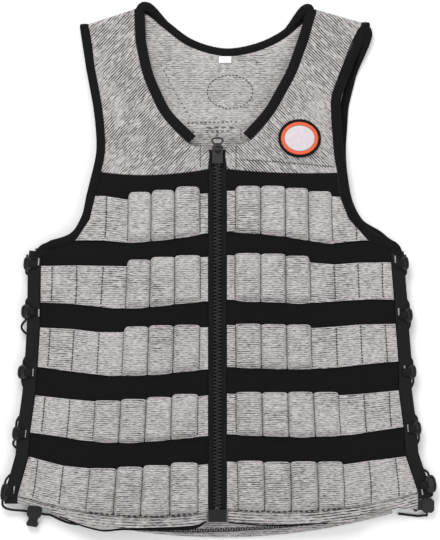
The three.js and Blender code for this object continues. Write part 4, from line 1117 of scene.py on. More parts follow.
# Laces
LACE_INWARD = {"front": 1.5, "back": 5.0}
LACE_SWINGS = {"left": {2: 7.5, 6: 4.0}, "right": {}}
TAIL_POINTS = 28
MOUTH_POINTS = 5
BEND_POINTS = 14
LACE_SIDES = 12


def lace_tail(side, paint):
    """The free end of the lace: out of the lock's bore and under the hem, along the surface."""
    lock = lock_frame(side)
    start = lock["to"] + lock["bore"] * GAP
    ahead = start + lock["bore"] * LACE
    route = [start, ahead] + [np.array([x_of(a), y_of(d), up]) for a, d, up in LACE_TAILS[side]]
    centres = curve(route, TAIL_POINTS)
    made = tube_piece(f"tail_of_lace_{side}", round_rings(centres, LACE / 2, LACE_SIDES), paint)
    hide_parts(f"lace_tail_{side}")


def bend(last, onward, shares):
    """Points of an easy bend between two straight stretches."""
    ease = np.linalg.norm(onward[0] - last[1]) * LACE_EASE
    leave = last[1] + (last[1] - last[0]) / np.linalg.norm(last[1] - last[0]) * ease
    arrive = onward[0] - (onward[1] - onward[0]) / np.linalg.norm(onward[1] - onward[0]) * ease
    return [
        last[1] * (1 - t) ** 3 + leave * 3 * t * (1 - t) ** 2 + arrive * 3 * t**2 * (1 - t) + onward[0] * t**3
        for t in shares
    ]


def side_lace(side, paint):
    """Lace that runs from hook to hook, front and back in turn, and through the cord lock."""
    mouths = []
    for index in range(len(HOOKS[side])):
        place = front_frame(side, HOOKS[side][index])
        mouths.append(mouth(place, hook_length(index), STRIP_THICK, 1))
        if index < len(BACK_HOOKS):
            mouths.append(mouth(back_hook(side, index), BACK_HOOK_LENGTH, BACK_STRIP_THICK, -1))
    lock = lock_frame(side)
    mouths.append((lock["from"], lock["to"]))
    shares = np.linspace(0, 1, BEND_POINTS)[1:-1]
    points = []
    for step, (last, onward) in enumerate(zip(mouths, mouths[1:])):
        swing = LACE_SWINGS[side].get(step, 0) * SIDES[side] * np.sin(shares * math.pi)
        bent = np.array(bend(last, onward, shares))
        bent[:, 0] += swing
        points += [*spaced(last, MOUTH_POINTS), *bent]
    points += [*spaced(mouths[-1], MOUTH_POINTS)]
    made = tube_piece(f"lace_{side}", round_rings(points, LACE / 2, LACE_SIDES), paint)
    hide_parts(f"side_lace_{side}")


# Front cloth: points across each of its lines, and the waves of its base
LATTICE = 9
BASE_WAVES = [(0.35, 34, 3), (0.15, 13, 4)]


def side_reach(side, y):
    """Where the front cloth ends at a height down the side."""
    ends = np.array([line_end(side, line) for line in FRONT_LINES[side]])
    return np.interp(-np.asarray(y, float), -ends[:, 1], np.abs(ends[:, 0]))


def front_surface(points):
    """Lifts plane points onto the front's underside."""
    points = flat(points)
    points[..., 2] = front_height(points[..., 0], points[..., 1])
    return points


def raised(grid, height):
    grid = grid.copy()
    grid[..., 2] += height
    return grid


def front_base(side, paint):
    """Black cloth of a front half, from the yoke seam to the hem."""
    shares = np.linspace(0, 1, LATTICE)
    lattice = [
        np.stack([line_x(side, line["reach"], shares), line_y(line, shares)], axis=1)
        for line in FRONT_LINES[side][:-1]
    ]
    grid = front_surface(refined(lattice, 150, 72))
    lift = CLOTH + waves(grid[..., 0], grid[..., 1], BASE_WAVES)
    made = sheet_piece(f"base_cloth_{side}", raised(grid, lift), grid, paint)
    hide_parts(f"front_base_{side}")


def height_of(drawn, x):
    """Height of a drawn edge at a place across."""
    order = np.argsort(drawn[:, 0])
    return np.interp(x, drawn[order, 0], drawn[order, 1])


def hem_edge(side, x):
    return height_of(curve(photo_line(HEM_PX[side]), 200), x)


def flat_band(line, half, flatness):
    """A flattened tube along a line, with half its width at each point."""
    rings = round_rings(line, half, 8)
    rings[..., 2] = line[:, None, 2] + flatness * (rings[..., 2] - line[:, None, 2])
    return tube_parts(rings)


# Half the width of the dark tape inside the front hem, at places across from the zip. The tape is partly a
# seam tape and partly painted shade, a dark band where the hem's edge shades the back.
HEM_SHADE_TAPE_AT = [12, 34, 75, 112, 190]
HEM_SHADE_TAPE_HALF = {"left": [1.2, 3.0, 2.5, 1.4, 1.3], "right": [1.3, 1.3, 1.3, 1.3, 1.3]}
HEM_SHADE_TAPE_FLAT = 0.4


HEM_SHADE_TAPE_END = {"left": 190, "right": 132}
HEM_SHADE_TAPE_DROP = 1.4
HEM_SHADE_TAPE_WAVES = [(0.5, 12, 51)]


def hem_shade_tape(side):
    """Dark tape inside the front hem, seen as a line under its edge: partly seam tape, partly painted shade
    under the hem's edge.
    """
    x = SIDES[side] * np.linspace(TAPE_OUTER + 2, HEM_SHADE_TAPE_END[side], 110)
    edge = hem_edge(side, x)
    half = np.interp(np.abs(x), HEM_SHADE_TAPE_AT, HEM_SHADE_TAPE_HALF[side])
    line = np.stack([x, edge - 0.7 * half, front_height(x, edge) - HEM_SHADE_TAPE_DROP], axis=1)
    line[:, 1] += waves(x, x * 0, HEM_SHADE_TAPE_WAVES)
    return flat_band(line, half, HEM_SHADE_TAPE_FLAT)


# The hem band: where it ends, its folds along the hem with their wander, its bumps and its turned edge
HEM_REACH = 0.913
HEM_FOLD = 0.45
HEM_FOLD_TURN = 19
HEM_WANDER = [(2, 60, 8)]
HEM_WAVES = [(0.4, 22, 9)]
HEM_ROLL = 1.2


def hem_band(side, paint):
    """Knit band under the lowest pockets, down to the front hem."""
    line = line_named(side, "row5_bottom")
    shares = np.linspace(0, 1, 80)
    upper = np.stack([line_x(side, line["reach"], shares), line_y(line, shares) - GAP], axis=1)
    across = line_x(side, HEM_REACH, shares)
    lower = np.stack([across, hem_edge(side, across)], axis=1)
    v = np.linspace(0, 1, 26)[:, None]
    steps = v[..., None]
    grid = front_surface(upper[None] * (1 - steps) + lower[None] * steps)
    x = grid[..., 0]
    folds = HEM_FOLD * np.sin(v * HEM_FOLD_TURN + waves(x, x * 0, HEM_WANDER))
    folds += waves(x, grid[..., 1], HEM_WAVES)
    rolled = -HEM_ROLL * v**8
    rib = (upper[:, 1] - lower[:, 1])[None] * v
    made = sheet_piece(f"hem_cloth_{side}", raised(grid, CLOTH + folds + rolled), grid, paint, rib=rib)
    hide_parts(f"front_hem_{side}")


# The foot of the lowest seams, which lean outward on the left
STITCH_FOOT_PX = {
    "left": [198, 170, 140.8, 113.8, 86.2, 58.7, 30.6],
    "right": STITCH_PX["right"][-1],
}
FOOT_Y_PX = 508


def stitch_x(side, k, y):
    """Where the seam number k from the zip is, at a height. A row that has no such seam leaves it out."""
    rows = [*zip(ROW_MIDDLE_PX, STITCH_PX[side]), (FOOT_Y_PX, STITCH_FOOT_PX[side])]
    found = [(y_px, xs[k]) for y_px, xs in rows if k < len(xs)]
    drawn = photo_line([(x, y_px) for y_px, x in found])
    return np.interp(-np.asarray(y, float), -drawn[:, 1], drawn[:, 0])


def strip_bottom(side, row, x):
    """Lower edge of a pocket strip. The lowest strip runs down to the hem band."""
    if row < len(BOTTOM_PX[side]):
        return height_of(photo_line(BOTTOM_PX[side][row]), x)
    line = line_named(side, "row5_bottom")
    share = (np.abs(x) - CLOTH_START) / (x_of(line["reach"]) - CLOTH_START)
    return line_y(line, np.clip(share, 0, 1)) + GAP


CELL_COLUMNS = 15
ROW_LINES = 30
HALF_ROW = 25
CORNER_POWER = 7
SIDE_POWER = 6
# Height of a loaded pocket at its seams, of an empty one, and of the threads over the cloth
SEAM_HEIGHT = 0.9
EMPTY_HEIGHT = 0.7
SEAM_LIFT = 0.55
FOOT_LIFT = 0.7
# Radius and sides of the black cord in the seams between loaded pockets: thread, and painted shade in the
# groove between them
SHADE_CORD_RADIUS = 0.9
SHADE_CORD_SIDES = 6
THREAD_LIFT = 0.3
POCKET_WAVES = [(0.3, 17, 20), (0.16, 6, 40)]


def pocket_surface(side, row):
    """Grid of a pocket strip: plane place and height over the base, cell by cell from the zip."""
    seams = STITCH_PX[side][row]
    edge = photo_line(EDGE_PX[side][row])
    risen = RISEN_PX[side][row]
    down, across = eased(ROW_LINES), eased(CELL_COLUMNS)
    middle_y = photo(0, ROW_MIDDLE_PX[row])[1]
    columns = []
    for cell in range(len(seams) + 1):
        loaded = 1 <= cell <= len(risen)
        for u in across[1 if cell else 0:]:
            def x_at(y):
                limit = side_reach(side, y) - GAP
                start = CLOTH_START if cell == 0 else np.abs(stitch_x(side, cell - 1, y))
                end = limit if cell == len(seams) else np.abs(stitch_x(side, cell, y))
                room = limit - (len(seams) - cell + 1 - u) * 0.05
                return SIDES[side] * np.minimum(start + (end - start) * u, room)

            top = height_of(edge, x_at(middle_y + HALF_ROW))
            low = strip_bottom(side, row, x_at(middle_y - HALF_ROW))
            squareness = abs(2 * u - 1)
            if loaded:
                crest = photo(0, risen[cell - 1])[1]
                top += (crest - top) * (1 - squareness**CORNER_POWER) ** 0.5
                low -= 0.8 * (1 - squareness**4)
            y = top + (low - top) * down
            x = x_at(y)
            crown = (1 - squareness**SIDE_POWER) ** 0.55
            if loaded:
                ends = smooth_step(0, 0.1, down) ** 0.6 * smooth_step(0, 0.14, 1 - down) ** 0.7
                height = SEAM_HEIGHT + (POCKET_BULGE - SEAM_HEIGHT) * crown * ends
            else:
                ends = smooth_step(-0.02, 0.08, down) * smooth_step(-0.02, 0.08, 1 - down)
                height = EMPTY_HEIGHT + POCKET_FLAT * (0.35 + 0.65 * crown) * (0.5 + 0.5 * ends)
            columns.append(np.stack([x, y, height], axis=1))
    return np.stack(columns, axis=1)


def pocket_strip(side, row, paint):
    surface = pocket_surface(side, row)
    x, y = surface[..., 0], surface[..., 1]
    under = front_surface(surface)
    under[..., 2] += CLOTH + LAYER_GAP
    crumple = waves(x, y, [(height, size, seed + row) for height, size, seed in POCKET_WAVES])
    soft = np.clip(surface[..., 2] / 2, 0, 1)
    over = raised(under, surface[..., 2] + crumple * soft)
    made = sheet_piece(f"pocket_cloth_{row + 1}_{side}", over, under, paint, rib=y - y[:1])
    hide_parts(f"front_pockets_{row + 1}_{side}")
    return over


def pocket_stitches(side, row, over):
    """Threads down the seams of a strip: a closed line between loaded pockets, which is thread and partly
    painted shade in the groove between them, and open stitches elsewhere.
    """
    parts = []
    seams = STITCH_PX[side][row]
    loaded = len(RISEN_PX[side][row])
    cell = CELL_COLUMNS - 1
    for k in range(len(seams)):
        line = spaced(raised(over[2:-1, (k + 1) * cell], SEAM_LIFT), 60)
        if 1 <= k < loaded:
            # A black cord in the groove: thread, and painted shade between the loaded pockets
            parts.append(tube_parts(round_rings(line, SHADE_CORD_RADIUS, SHADE_CORD_SIDES)))
            parts += stitches(raised(line, THREAD_LIFT), *STITCH["closed"])
        else:
            parts += stitches(line, *STITCH["first" if k == 0 else "open"])
    if row == len(STITCH_PX[side]) - 1:
        foot = raised(over[-2, cell:(loaded + 1) * cell + 1], FOOT_LIFT)
        parts += stitches(spaced(foot, 80), *STITCH["foot"])
    return parts


# The yokes: long bumps that lean, short ones, and how high their seams lie
YOKE_LEAN = 0.5
YOKE_FOLDS = [(0.7, 42, 11)]
YOKE_CREASES = [(0.3, 15, 12)]
YOKE_SEAM_LIFT = 0.45


def yoke_waves(x, y):
    return waves(x + y * YOKE_LEAN, y - x * YOKE_LEAN, YOKE_FOLDS) + waves(x, y, YOKE_CREASES)


def yoke_seams(side):
    """Stitches down the zip facing and along the seam."""
    parts = []
    for drawn in YOKE_SEAMS_PX[side]:
        line = front_surface(curve(photo_line(drawn), 80))
        line[:, 2] += CLOTH + yoke_waves(line[:, 0], line[:, 1]) + YOKE_SEAM_LIFT
        parts += stitches(line, *STITCH["yoke"])
    return parts


# Lines down a yoke, and how many of them the shoulder fold takes the place of
YOKE_LINES = 110
FOLD_LINES = 4


def round_fold(edge, radius, turn):
    """An edge of the shoulder fold, turned round it."""
    return np.stack(np.broadcast_arrays(
        edge[..., 0],
        edge[..., 1] - FOLD_RADIUS + radius * math.cos(turn),
        FOLD_BOTTOM + FOLD_RADIUS + radius * math.sin(turn),
    ), axis=-1)


def yoke(side, paint):
    """Grey yoke, from the shoulder fold to the seam with the base."""
    ends = zip(yoke_edge(side, "arm"), yoke_edge(side, "neck"))
    shares = np.linspace(0, 1, LATTICE)
    lattice = [[neck + (arm - neck) * s for s in shares] for arm, neck in ends]
    seam = line_named(side, "seam")
    lattice.append(np.stack([line_x(side, seam["reach"], shares), line_y(seam, shares) + GAP], axis=1))
    plane = refined(lattice, YOKE_LINES, 84)
    grid = front_surface(plane)
    away = smooth_step(0, 0.1, np.linspace(0, 1, YOKE_LINES))[:, None]
    lift = yoke_waves(grid[..., 0], grid[..., 1]) * away
    turns = np.radians(np.linspace(-90, 80, 16))
    inner = [round_fold(plane[0], FOLD_RADIUS - CLOTH, turn) for turn in turns]
    outer = [round_fold(plane[0], FOLD_RADIUS, turn) for turn in turns]
    top = np.concatenate([outer, raised(grid, CLOTH + lift)[FOLD_LINES:]])
    bottom = np.concatenate([inner, raised(grid, lift * 0.5)[FOLD_LINES:]])
    made = sheet_piece(f"yoke_cloth_{side}", top, bottom, paint)
    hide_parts(f"yoke_{side}")


BACK_WAVES = [(0.5, 38, 31), (0.2, 14, 32)]
BACK_WAVE_LOW = -0.6
BACK_SEAM_LIFT = 0.55
BACK_THREAD_THICK = 1.15


def back_waves(x, y):
    return np.maximum(waves(x, y, BACK_WAVES), BACK_WAVE_LOW)


def on_back(plane):
    """Lifts plane points onto the inside of the back."""
    line = flat(plane)
    x, y = line[:, 0], line[:, 1]
    line[:, 2] = BACK_RISE * read(BACK_DRAPE, down_of(y), "field") + CLOTH + back_waves(x, y) + BACK_SEAM_LIFT
    return line


def back_seams():
    parts = []
    for seam in BACK_SEAMS_PX:
        line = on_back(curve(photo_line(seam["line"]), 60))
        parts += stitches(line, seam["length"], seam["pitch"], BACK_THREAD_THICK)
    turns = np.linspace(0, 2 * math.pi, 120)
    oval = BACK_OVAL_PX
    drawn = [(oval["x"] + oval["wide"] * math.cos(t), oval["y"] + oval["high"] * math.sin(t)) for t in turns]
    return parts + stitches(on_back(photo_line(drawn)), *STITCH["oval"])


# Half the width of the black band along the overlock, along its run: partly the overlock's black thread,
# partly painted shade under the front hem's edge
OVERLOCK_SHADE_BAND_AT = [0, 0.15, 0.8, 1]
OVERLOCK_SHADE_BAND_HALF = [0.8, 2.7, 2.5, 0.7]
OVERLOCK_SHADE_BAND_FLAT = 0.2
OVERLOCK_LIFT = 0.5
# The two threads: length, pitch, lean and thickness, and how far the white one lies from the black
OVERLOCK_BLACK = (6.2, 3.1, 34, 1.5)
OVERLOCK_WHITE = (4.2, 3.1, 30, 1.1)
OVERLOCK_SHIFT = (1.5, 0.4, 0.25)


def overlock(dark, pale):
    """Zigzag of black and white thread over a dark band along the inside of the back hem; the band is partly
    black thread and partly painted shade under the front hem's edge.
    """
    line = on_back(curve(photo_line(OVERLOCK_PX), 200))
    line[:, 2] += OVERLOCK_LIFT
    half = np.interp(np.linspace(0, 1, len(line)), OVERLOCK_SHADE_BAND_AT, OVERLOCK_SHADE_BAND_HALF)
    # The dark band: black thread, and painted shade under the front hem's edge
    band = flat_band(line, half, OVERLOCK_SHADE_BAND_FLAT)
    joined_piece("hem_overlock_black_and_painted_shade", [band, *slanted(line, *OVERLOCK_BLACK)], dark)
    joined_piece("hem_overlock_white", slanted(line + OVERLOCK_SHIFT, *OVERLOCK_WHITE), pale)


def back_cloth(paint):
    """Back panel: its inside shows through the neck, the armholes and past the front hem."""
    grid = refined(BACK, 130, 96)
    x, y = grid[..., 0], grid[..., 1]
    share = np.linspace(0, 1, 96)
    inside = smooth_step(0, 0.06, share) * smooth_step(0, 0.06, 1 - share)
    lift = CLOTH + back_waves(x, y) * inside[None]
    made = sheet_piece("back_cloth", raised(grid, lift), grid, paint)
    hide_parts("back_panel")


BACK_POCKET_WIDTH = 30
BACK_BULGE = 6.2


def back_pockets(index, paint):
    """A row of loaded pockets on the outside of the back, which the vest lies on."""
    row = BACK_ROWS[index]
    left, right = -x_of(row["left"]), x_of(row["right"])
    count = round((right - left) / BACK_POCKET_WIDTH)
    across = np.linspace(0, count, count * 12 + 1)
    down = eased(22)
    x = left + (right - left) * across / count
    y = y_of(row["top"]) + (y_of(row["bottom"]) - y_of(row["top"])) * down
    crown = (1 - np.abs(2 * (across % 1) - 1) ** 5) ** 0.6
    ends = smooth_step(0, 0.12, down) ** 0.6 * smooth_step(0, 0.12, 1 - down) ** 0.6
    face = BACK_BULGE - BACK_BULGE * ends[:, None] * crown[None]
    grid = flat(np.stack(np.meshgrid(x, y), axis=-1))
    top = raised(grid, BACK_RISE - GAP)
    bottom = raised(grid, face)
    made = sheet_piece(f"back_pocket_cloth_{index + 1}", top, bottom, paint)
    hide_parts(f"back_pockets_{index + 1}")


# Section of a binding: a folded tape with soft edges and a groove near the cloth
BINDING_SECTION = [
    (0.0, -0.38), (0.06, -0.5), (0.5, -0.52), (0.82, -0.46), (0.95, -0.28), (1.0, 0.0),
    (0.95, 0.28), (0.82, 0.46), (0.5, 0.52), (0.2, 0.47), (0.13, 0.38), (0.06, 0.5), (0.0, 0.38),
]


def binding_rings(points, across, normals, width):
    return [
        [point + out * (GAP + (width - GAP) * a) + normal * (b * BINDING_THICK) for a, b in BINDING_SECTION]
        for point, out, normal in zip(points, across, normals)
    ]


def flat_rings(points, across, sign, width):
    """Rings of a binding that lies flat, facing up or down."""
    return binding_rings(points, across, np.tile([0.0, 0.0, sign], (len(points), 1)), width)


FOLD_TURNS = np.radians(np.linspace(90, -90, 19))


def fold_rings(edge, across, width):
    """Rings of a binding round the shoulder fold."""
    points = [round_fold(edge, FOLD_RADIUS - CLOTH / 2, turn) for turn in FOLD_TURNS]
    normals = [np.array([0, math.cos(turn), math.sin(turn)]) for turn in FOLD_TURNS]
    return binding_rings(points, [across] * len(points), normals, width)


# Armhole bindings: width in front, way off the cloth at the lower ends, and the points that a fold leaves out
ARM_FRONT_BINDING = {"left": ARM_BINDING, "right": 12.2}
ARM_END_WAY = (0.958, 0.287)
ARM_SKIP = 6
NECK_SKIP = 4
EDGE_POINTS = 90
BACK_NECK_POINTS = 110
# The rounded end of each armhole binding over its side strip: outer and inner edge, from above down
BINDING_END_PX = {
    "left": [
        [(52, 239.8), (54, 246)], [(46, 242.3), (49, 250)], [(40, 245.3), (45, 254)],
        [(34.5, 251), (42.5, 256)], [(31.2, 255.5), (42, 257.5)],
    ],
    "right": [
        [(384, 234), (382, 240)], [(391, 239), (387, 245)], [(397, 242.5), (391, 250)],
        [(401, 247), (393, 254)], [(403.6, 254), (395, 257)],
    ],
}


BINDING_END_HIGH = 1.9
BINDING_END_EDGE = 0.7
BINDING_END_UNDER = 0.5


def binding_end(side):
    """Rounded end of an armhole binding."""
    lattice = [photo_line(row) for row in BINDING_END_PX[side]]
    grid = on_front(flat(refined(lattice, 30, 12)))
    edges = np.linspace(-1, 1, 12)[None, :] ** 6
    top = raised(grid, BINDING_END_HIGH - BINDING_END_EDGE * edges)
    return sheet_parts(top, raised(grid, -BINDING_END_UNDER))


def armhole_binding(side, paint):
    """Binding of an armhole, from the underarm over the shoulder fold and down the back."""
    hand = SIDES[side]
    names = ["underarm", "row1_bottom", "row1_mid", "row1_top", "seam"]
    lower = [line_end(side, line_named(side, name)) for name in names]
    arms = yoke_edge(side, "arm")
    end_way = (hand * ARM_END_WAY[0], ARM_END_WAY[1], 0)
    front = on_front(flat(curve([*lower, *arms[:0:-1]], EDGE_POINTS)))
    front_out = edge_normals(front, -hand)
    front_out[:4] = end_way
    back_edge = BACK_ENDS[side][down_of(BACK_ENDS[side][:, 1]) < STRIP_TOP + 0.004]
    back = curve(back_edge, EDGE_POINTS) + (0, 0, CLOTH / 2)
    back_out = edge_normals(back, hand)
    back_out[-4:] = end_way
    rings = [
        *flat_rings(front[:-ARM_SKIP], front_out[:-ARM_SKIP], 1, ARM_FRONT_BINDING[side]),
        *fold_rings(arms[0], np.array([hand, 0, 0]), ARM_BINDING),
        *flat_rings(back[ARM_SKIP:], back_out[ARM_SKIP:], -1, ARM_BINDING),
    ]
    made = joined_piece(f"armhole_tape_{side}", [tube_parts(rings), binding_end(side)], paint)
    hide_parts(f"armhole_binding_{side}")


NECK_START = {"left": 0.5, "right": 0.2}
ROLL_HIGH = 7.6
ROLL_THICK = 4.2
ROLL_DROP = 5.4
ROLL_NARROWING = 0.45


def shoulder_roll(place, paint):
    """Binding that turns over a shoulder, from the front down to the back."""
    middle = curve(photo_line(ROLLS[place]["line"]), 44)
    share = np.linspace(0, 1, 44)
    half = ROLLS[place]["half"] * (1 - ROLL_NARROWING * smooth_step(0.4, 1, share))
    high = ROLL_HIGH - ROLL_DROP * smooth_step(0.3, 0.9, share)
    ahead = units(np.gradient(middle, axis=0))
    turns = full_turn(14)
    rings = []
    for point, way, reach, z in zip(middle, ahead, half, high):
        wide, tall = np.cos(turns) * reach, np.sin(turns) * ROLL_THICK / 2
        rings.append(np.stack([point[0] - way[1] * wide, point[1] + way[0] * wide, z + tall], axis=1))
    tube_piece(f"shoulder_roll_{place}", rings, paint)


def neck_binding(paint):
    """One binding round the neck: down both front edges and along the back."""
    parts = []
    for side, hand in SIDES.items():
        necks = yoke_edge(side, "neck")
        edge = on_front(flat(curve(necks[-2:0:-1], EDGE_POINTS)))
        out = edge_normals(edge, hand)
        rings = [
            *flat_rings(edge[:-NECK_SKIP], out[:-NECK_SKIP], 1, NECK_BINDING),
            *fold_rings(necks[0], np.array([-hand, 0, 0]), NECK_BINDING),
        ]
        parts.append(tube_parts(rings))
    top = BACK[0][2:-2].copy()
    top[0] = top[0] + (top[1] - top[0]) * NECK_START["left"]
    top[-1] = top[-1] + (top[-2] - top[-1]) * NECK_START["right"]
    line = curve(top, BACK_NECK_POINTS) + (0, 0, CLOTH / 2)
    parts.append(tube_parts(flat_rings(line, edge_normals(line, 1), -1, BACK_NECK_BINDING)))
    made = joined_piece("neck_tape", parts, paint)
    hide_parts("neck_binding")


# Side strips. Their upper ends run on under the armhole bindings.
STRIP_RISE = 0.005
STRIP_ACROSS = np.array([0, 0.06, 0.14, 0.3, 0.5, 0.7, 0.86, 0.94, 1])
STRIP_CROWN = np.array([-0.5, -0.12, 0.05, 0, 0, 0, 0.05, -0.12, -0.5])


def strip_piece(name, node, place_at, from_down, to_down, thick, paint):
    """Webbing along a side edge, thinner at both its edges."""
    lift = np.stack([0 * STRIP_CROWN, 0 * STRIP_CROWN, thick / 2 + STRIP_CROWN], axis=1)
    ends = [place_at(down) for down in np.linspace(from_down, to_down, EDGE_POINTS)]
    lines = np.array([inner + (outer - inner) * STRIP_ACROSS[:, None] for inner, outer in ends])
    made = sheet_piece(name, lines + lift, lines - lift, paint)
    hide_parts(node)


BACK_LOOP_OUTER = 2.7
BACK_LOOP_INNER = 1.8


def back_strip(side, paint):
    """Webbing on the back, with flat loops that the lace runs through."""
    strip_piece(
        f"back_strip_{side}", f"back_lace_strip_{side}", lambda down: back_place(side, down),
        BACK_STRIP_TOP, BACK_STRIP_END, BACK_STRIP_THICK, paint,
    )
    parts = []
    for index in range(len(BACK_HOOKS)):
        place = back_hook(side, index)
        centre = mouth_centre(place, BACK_STRIP_THICK, -1)
        ends = [centre + place["along"] * (BACK_HOOK_LENGTH / 2 * k) for k in (-1, -0.5, 0, 0.5, 1)]
        shell = []
        for turn in np.linspace(0, 2 * math.pi, 24, endpoint=False):
            way = place["across"] * math.cos(turn) + place["up"] * math.sin(turn)
            outside = [end + way * BACK_LOOP_OUTER for end in ends]
            shell.append(outside + [end + way * BACK_LOOP_INNER for end in ends[::-1]])
        parts.append(loop_parts(shell))
    joined_piece(f"back_loops_{side}", parts, paint)


# Hooks: a rounded loop on the strip's outer edge, deeper where it shields the lace, held by a folded tab
HOOK_WIRE = 1.55
HOOK_HALF = 8.6
END_HOOK_HALF = 11.0
HOOK_SINK = 1.7
HOOK_LIFT = STRIP_THICK / 2 + HOOK_WIRE + 0.1
HOOK_SQUARENESS = 2 / 2.7
HOOK_LEAST = 5.5
HOOK_DISH = [(0.3, -0.9), (0.98, -0.7), (0.98, 0.7), (0.75, 0.75), (0.5, 0.25), (0.1, 0.1)]
TACK_LENGTH = 8.0
TACK_HALF = 0.9
TACK_LIFT = 1.6
TACK_CROWN = 0.35
TACK_RADII = np.array([0.22, 0.42, 0.22])
TACK_THREADS = 13
# The tabs: points across with their rise, where they start and how long they are, and their heights
TAB_ACROSS = [(-4.6, -0.5), (-4.1, 0), (0, 0.12), (4.1, 0), (4.6, -0.5)]
TAB_START = -11.5
TAB_LENGTH = 11.0
TAB_LIFT = 1.3
TAB_BULGE = 2.0
TAB_SLOPE = 0.9
TAB_UNDER = 0.1


def lace_hook(side, index, paint):
    """One hook: a rounded rim over a dished middle."""
    reach_x, y = photo(*HOOK_PX[side][index])
    place = front_frame(side, down_of(y))
    sticks_out = max(abs(reach_x) - abs(place["origin"][0]), HOOK_LEAST)
    half = END_HOOK_HALF if index == len(HOOKS[side]) - 1 else HOOK_HALF
    across_half = (sticks_out + HOOK_ROOM) / 2 - HOOK_WIRE
    centre = sticks_out - HOOK_WIRE - across_half
    rings = []
    for turn in full_turn(44):
        c, s = math.cos(turn), math.sin(turn)
        out = centre + across_half * math.copysign(abs(c) ** HOOK_SQUARENESS, c)
        along = (half - HOOK_WIRE) * math.copysign(abs(s) ** HOOK_SQUARENESS, s)
        deep = max(0.0, c) ** 0.5 * HOOK_SINK
        rise = HOOK_LIFT - deep
        radial = place["across"] * c + place["along"] * s
        radial /= np.linalg.norm(radial)
        spot = place["origin"] + place["across"] * out + place["along"] * along + place["up"] * rise
        rings.append([
            spot + radial * HOOK_WIRE * math.cos(a) + place["up"] * (HOOK_WIRE + deep * 0.9) * math.sin(a)
            for a in full_turn(10)
        ])
    middle = place["origin"] + place["across"] * centre + place["up"] * HOOK_LIFT
    core = np.array(rings).mean(axis=1)
    dish = [middle + (core - middle) * share + place["up"] * rise for share, rise in HOOK_DISH]
    made = joined_piece(f"loop_{side}_{index + 1}", [loop_parts(rings), tube_parts(dish)], paint)
    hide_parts(f"lace_hook_{side}_{index + 1}")


def hook_tab(side, index):
    """Webbing tab that holds a hook down."""
    y = photo(*HOOK_PX[side][index])[1]
    place = front_frame(side, down_of(y))
    crown = np.array([rise for _, rise in TAB_ACROSS])[:, None] * place["up"]
    top, low = [], []
    for share in np.linspace(0, 1, 12):
        out = TAB_START + TAB_LENGTH * share
        lift = STRIP_THICK / 2 + TAB_LIFT + TAB_BULGE * math.sin(share * math.pi) ** 0.8 + TAB_SLOPE * share
        line = np.array([place["origin"] + place["across"] * out + place["along"] * a for a, _ in TAB_ACROSS])
        top.append(line + place["up"] * lift + crown)
        low.append(line + place["up"] * (STRIP_THICK / 2 + TAB_UNDER))
    return sheet_parts(np.array(top), np.array(low))


def bar_tack(side, index):
    """A bar of pale satin stitches across the foot of a tab."""
    x, y = photo(*TACK_PX[side][index])
    place = front_frame(side, down_of(y))
    level = place["origin"] + (x - place["origin"][0]) / place["across"][0] * place["across"]
    half = place["across"] * TACK_HALF
    parts = []
    for step in np.linspace(-TACK_LENGTH / 2, TACK_LENGTH / 2, TACK_THREADS):
        middle = level + place["along"] * step + place["up"] * (STRIP_THICK / 2 + TACK_LIFT)
        ends = np.array([middle - half, middle + place["up"] * TACK_CROWN, middle + half])
        parts.append(tube_parts(round_rings(ends, TACK_RADII, STITCH_SIDES)))
    return parts


# Zip
ZIP_TOP = y_of(YOKE_ROWS["left"][-1]["neck_down"])
ZIP_END = y_of(line_named("left", "hem")["zip"])
TEETH_LEVEL = TAPE_LIFT + TAPE_THICK + LAYER_GAP
SLIDER_TOP = ZIP_TOP + 3.6
CHAIN_TOP = SLIDER_TOP - 7
CHAIN_END = ZIP_END + END_BOX_LENGTH + GAP


def zip_height(y):
    return front_height(np.zeros_like(y), y)


# Places across a zip tape and the height of its raised cord there
TAPE_ACROSS = np.array([TAPE_OUTER, 9.6, 8.4, 8.1, 7.5, 7.2, 5.6, TAPE_INNER])
TAPE_RIDGE = np.array([-0.3, 0, 0, 0.28, 0.28, 0, 0, 0])


def zip_tape(side, paint):
    y = np.linspace(ZIP_TOP, ZIP_END, 160)
    x = SIDES[side] * TAPE_ACROSS
    grid = np.stack(np.broadcast_arrays(x[None], y[:, None], zip_height(y)[:, None] + TAPE_LIFT), axis=-1)
    top = grid.copy()
    top[..., 2] += TAPE_THICK + TAPE_RIDGE
    made = sheet_piece(f"tape_{side}", top, grid, paint)
    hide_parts(f"zip_tape_{side}")


# Teeth: how far in the lower foot reaches, its share of the height, and the bevel and flat of the top
TOOTH_FOOT = 3.6
TOOTH_FOOT_HEIGHT = 0.86
TOOTH_BEVEL = 0.5
TOOTH_FLAT = 0.6
# A tooth from above, from its foot at the tape to its head past the middle, as half widths
TOOTH_PLAN = [
    (CHAIN_HALF, 0.9), (TOOTH_FOOT, 1.25), (1.5, 1.2), (0.4, 0.8), (-0.6, 1.05), (-1.3, 0.8), (-1.6, 0.3),
]


def tooth(side, y):
    """One moulded tooth."""
    low = float(zip_height(np.array(y))) + TEETH_LEVEL
    rings = []
    for out, half in TOOTH_PLAN:
        x = SIDES[side] * out
        high = low + TEETH_THICK * (TOOTH_FOOT_HEIGHT if out > TOOTH_FOOT else 1.0)
        rings.append([
            (x, y - half, low), (x, y - half, high - TOOTH_BEVEL), (x, y - half * TOOTH_FLAT, high),
            (x, y + half * TOOTH_FLAT, high), (x, y + half, high - TOOTH_BEVEL), (x, y + half, low),
        ])
    return tube_parts(rings)


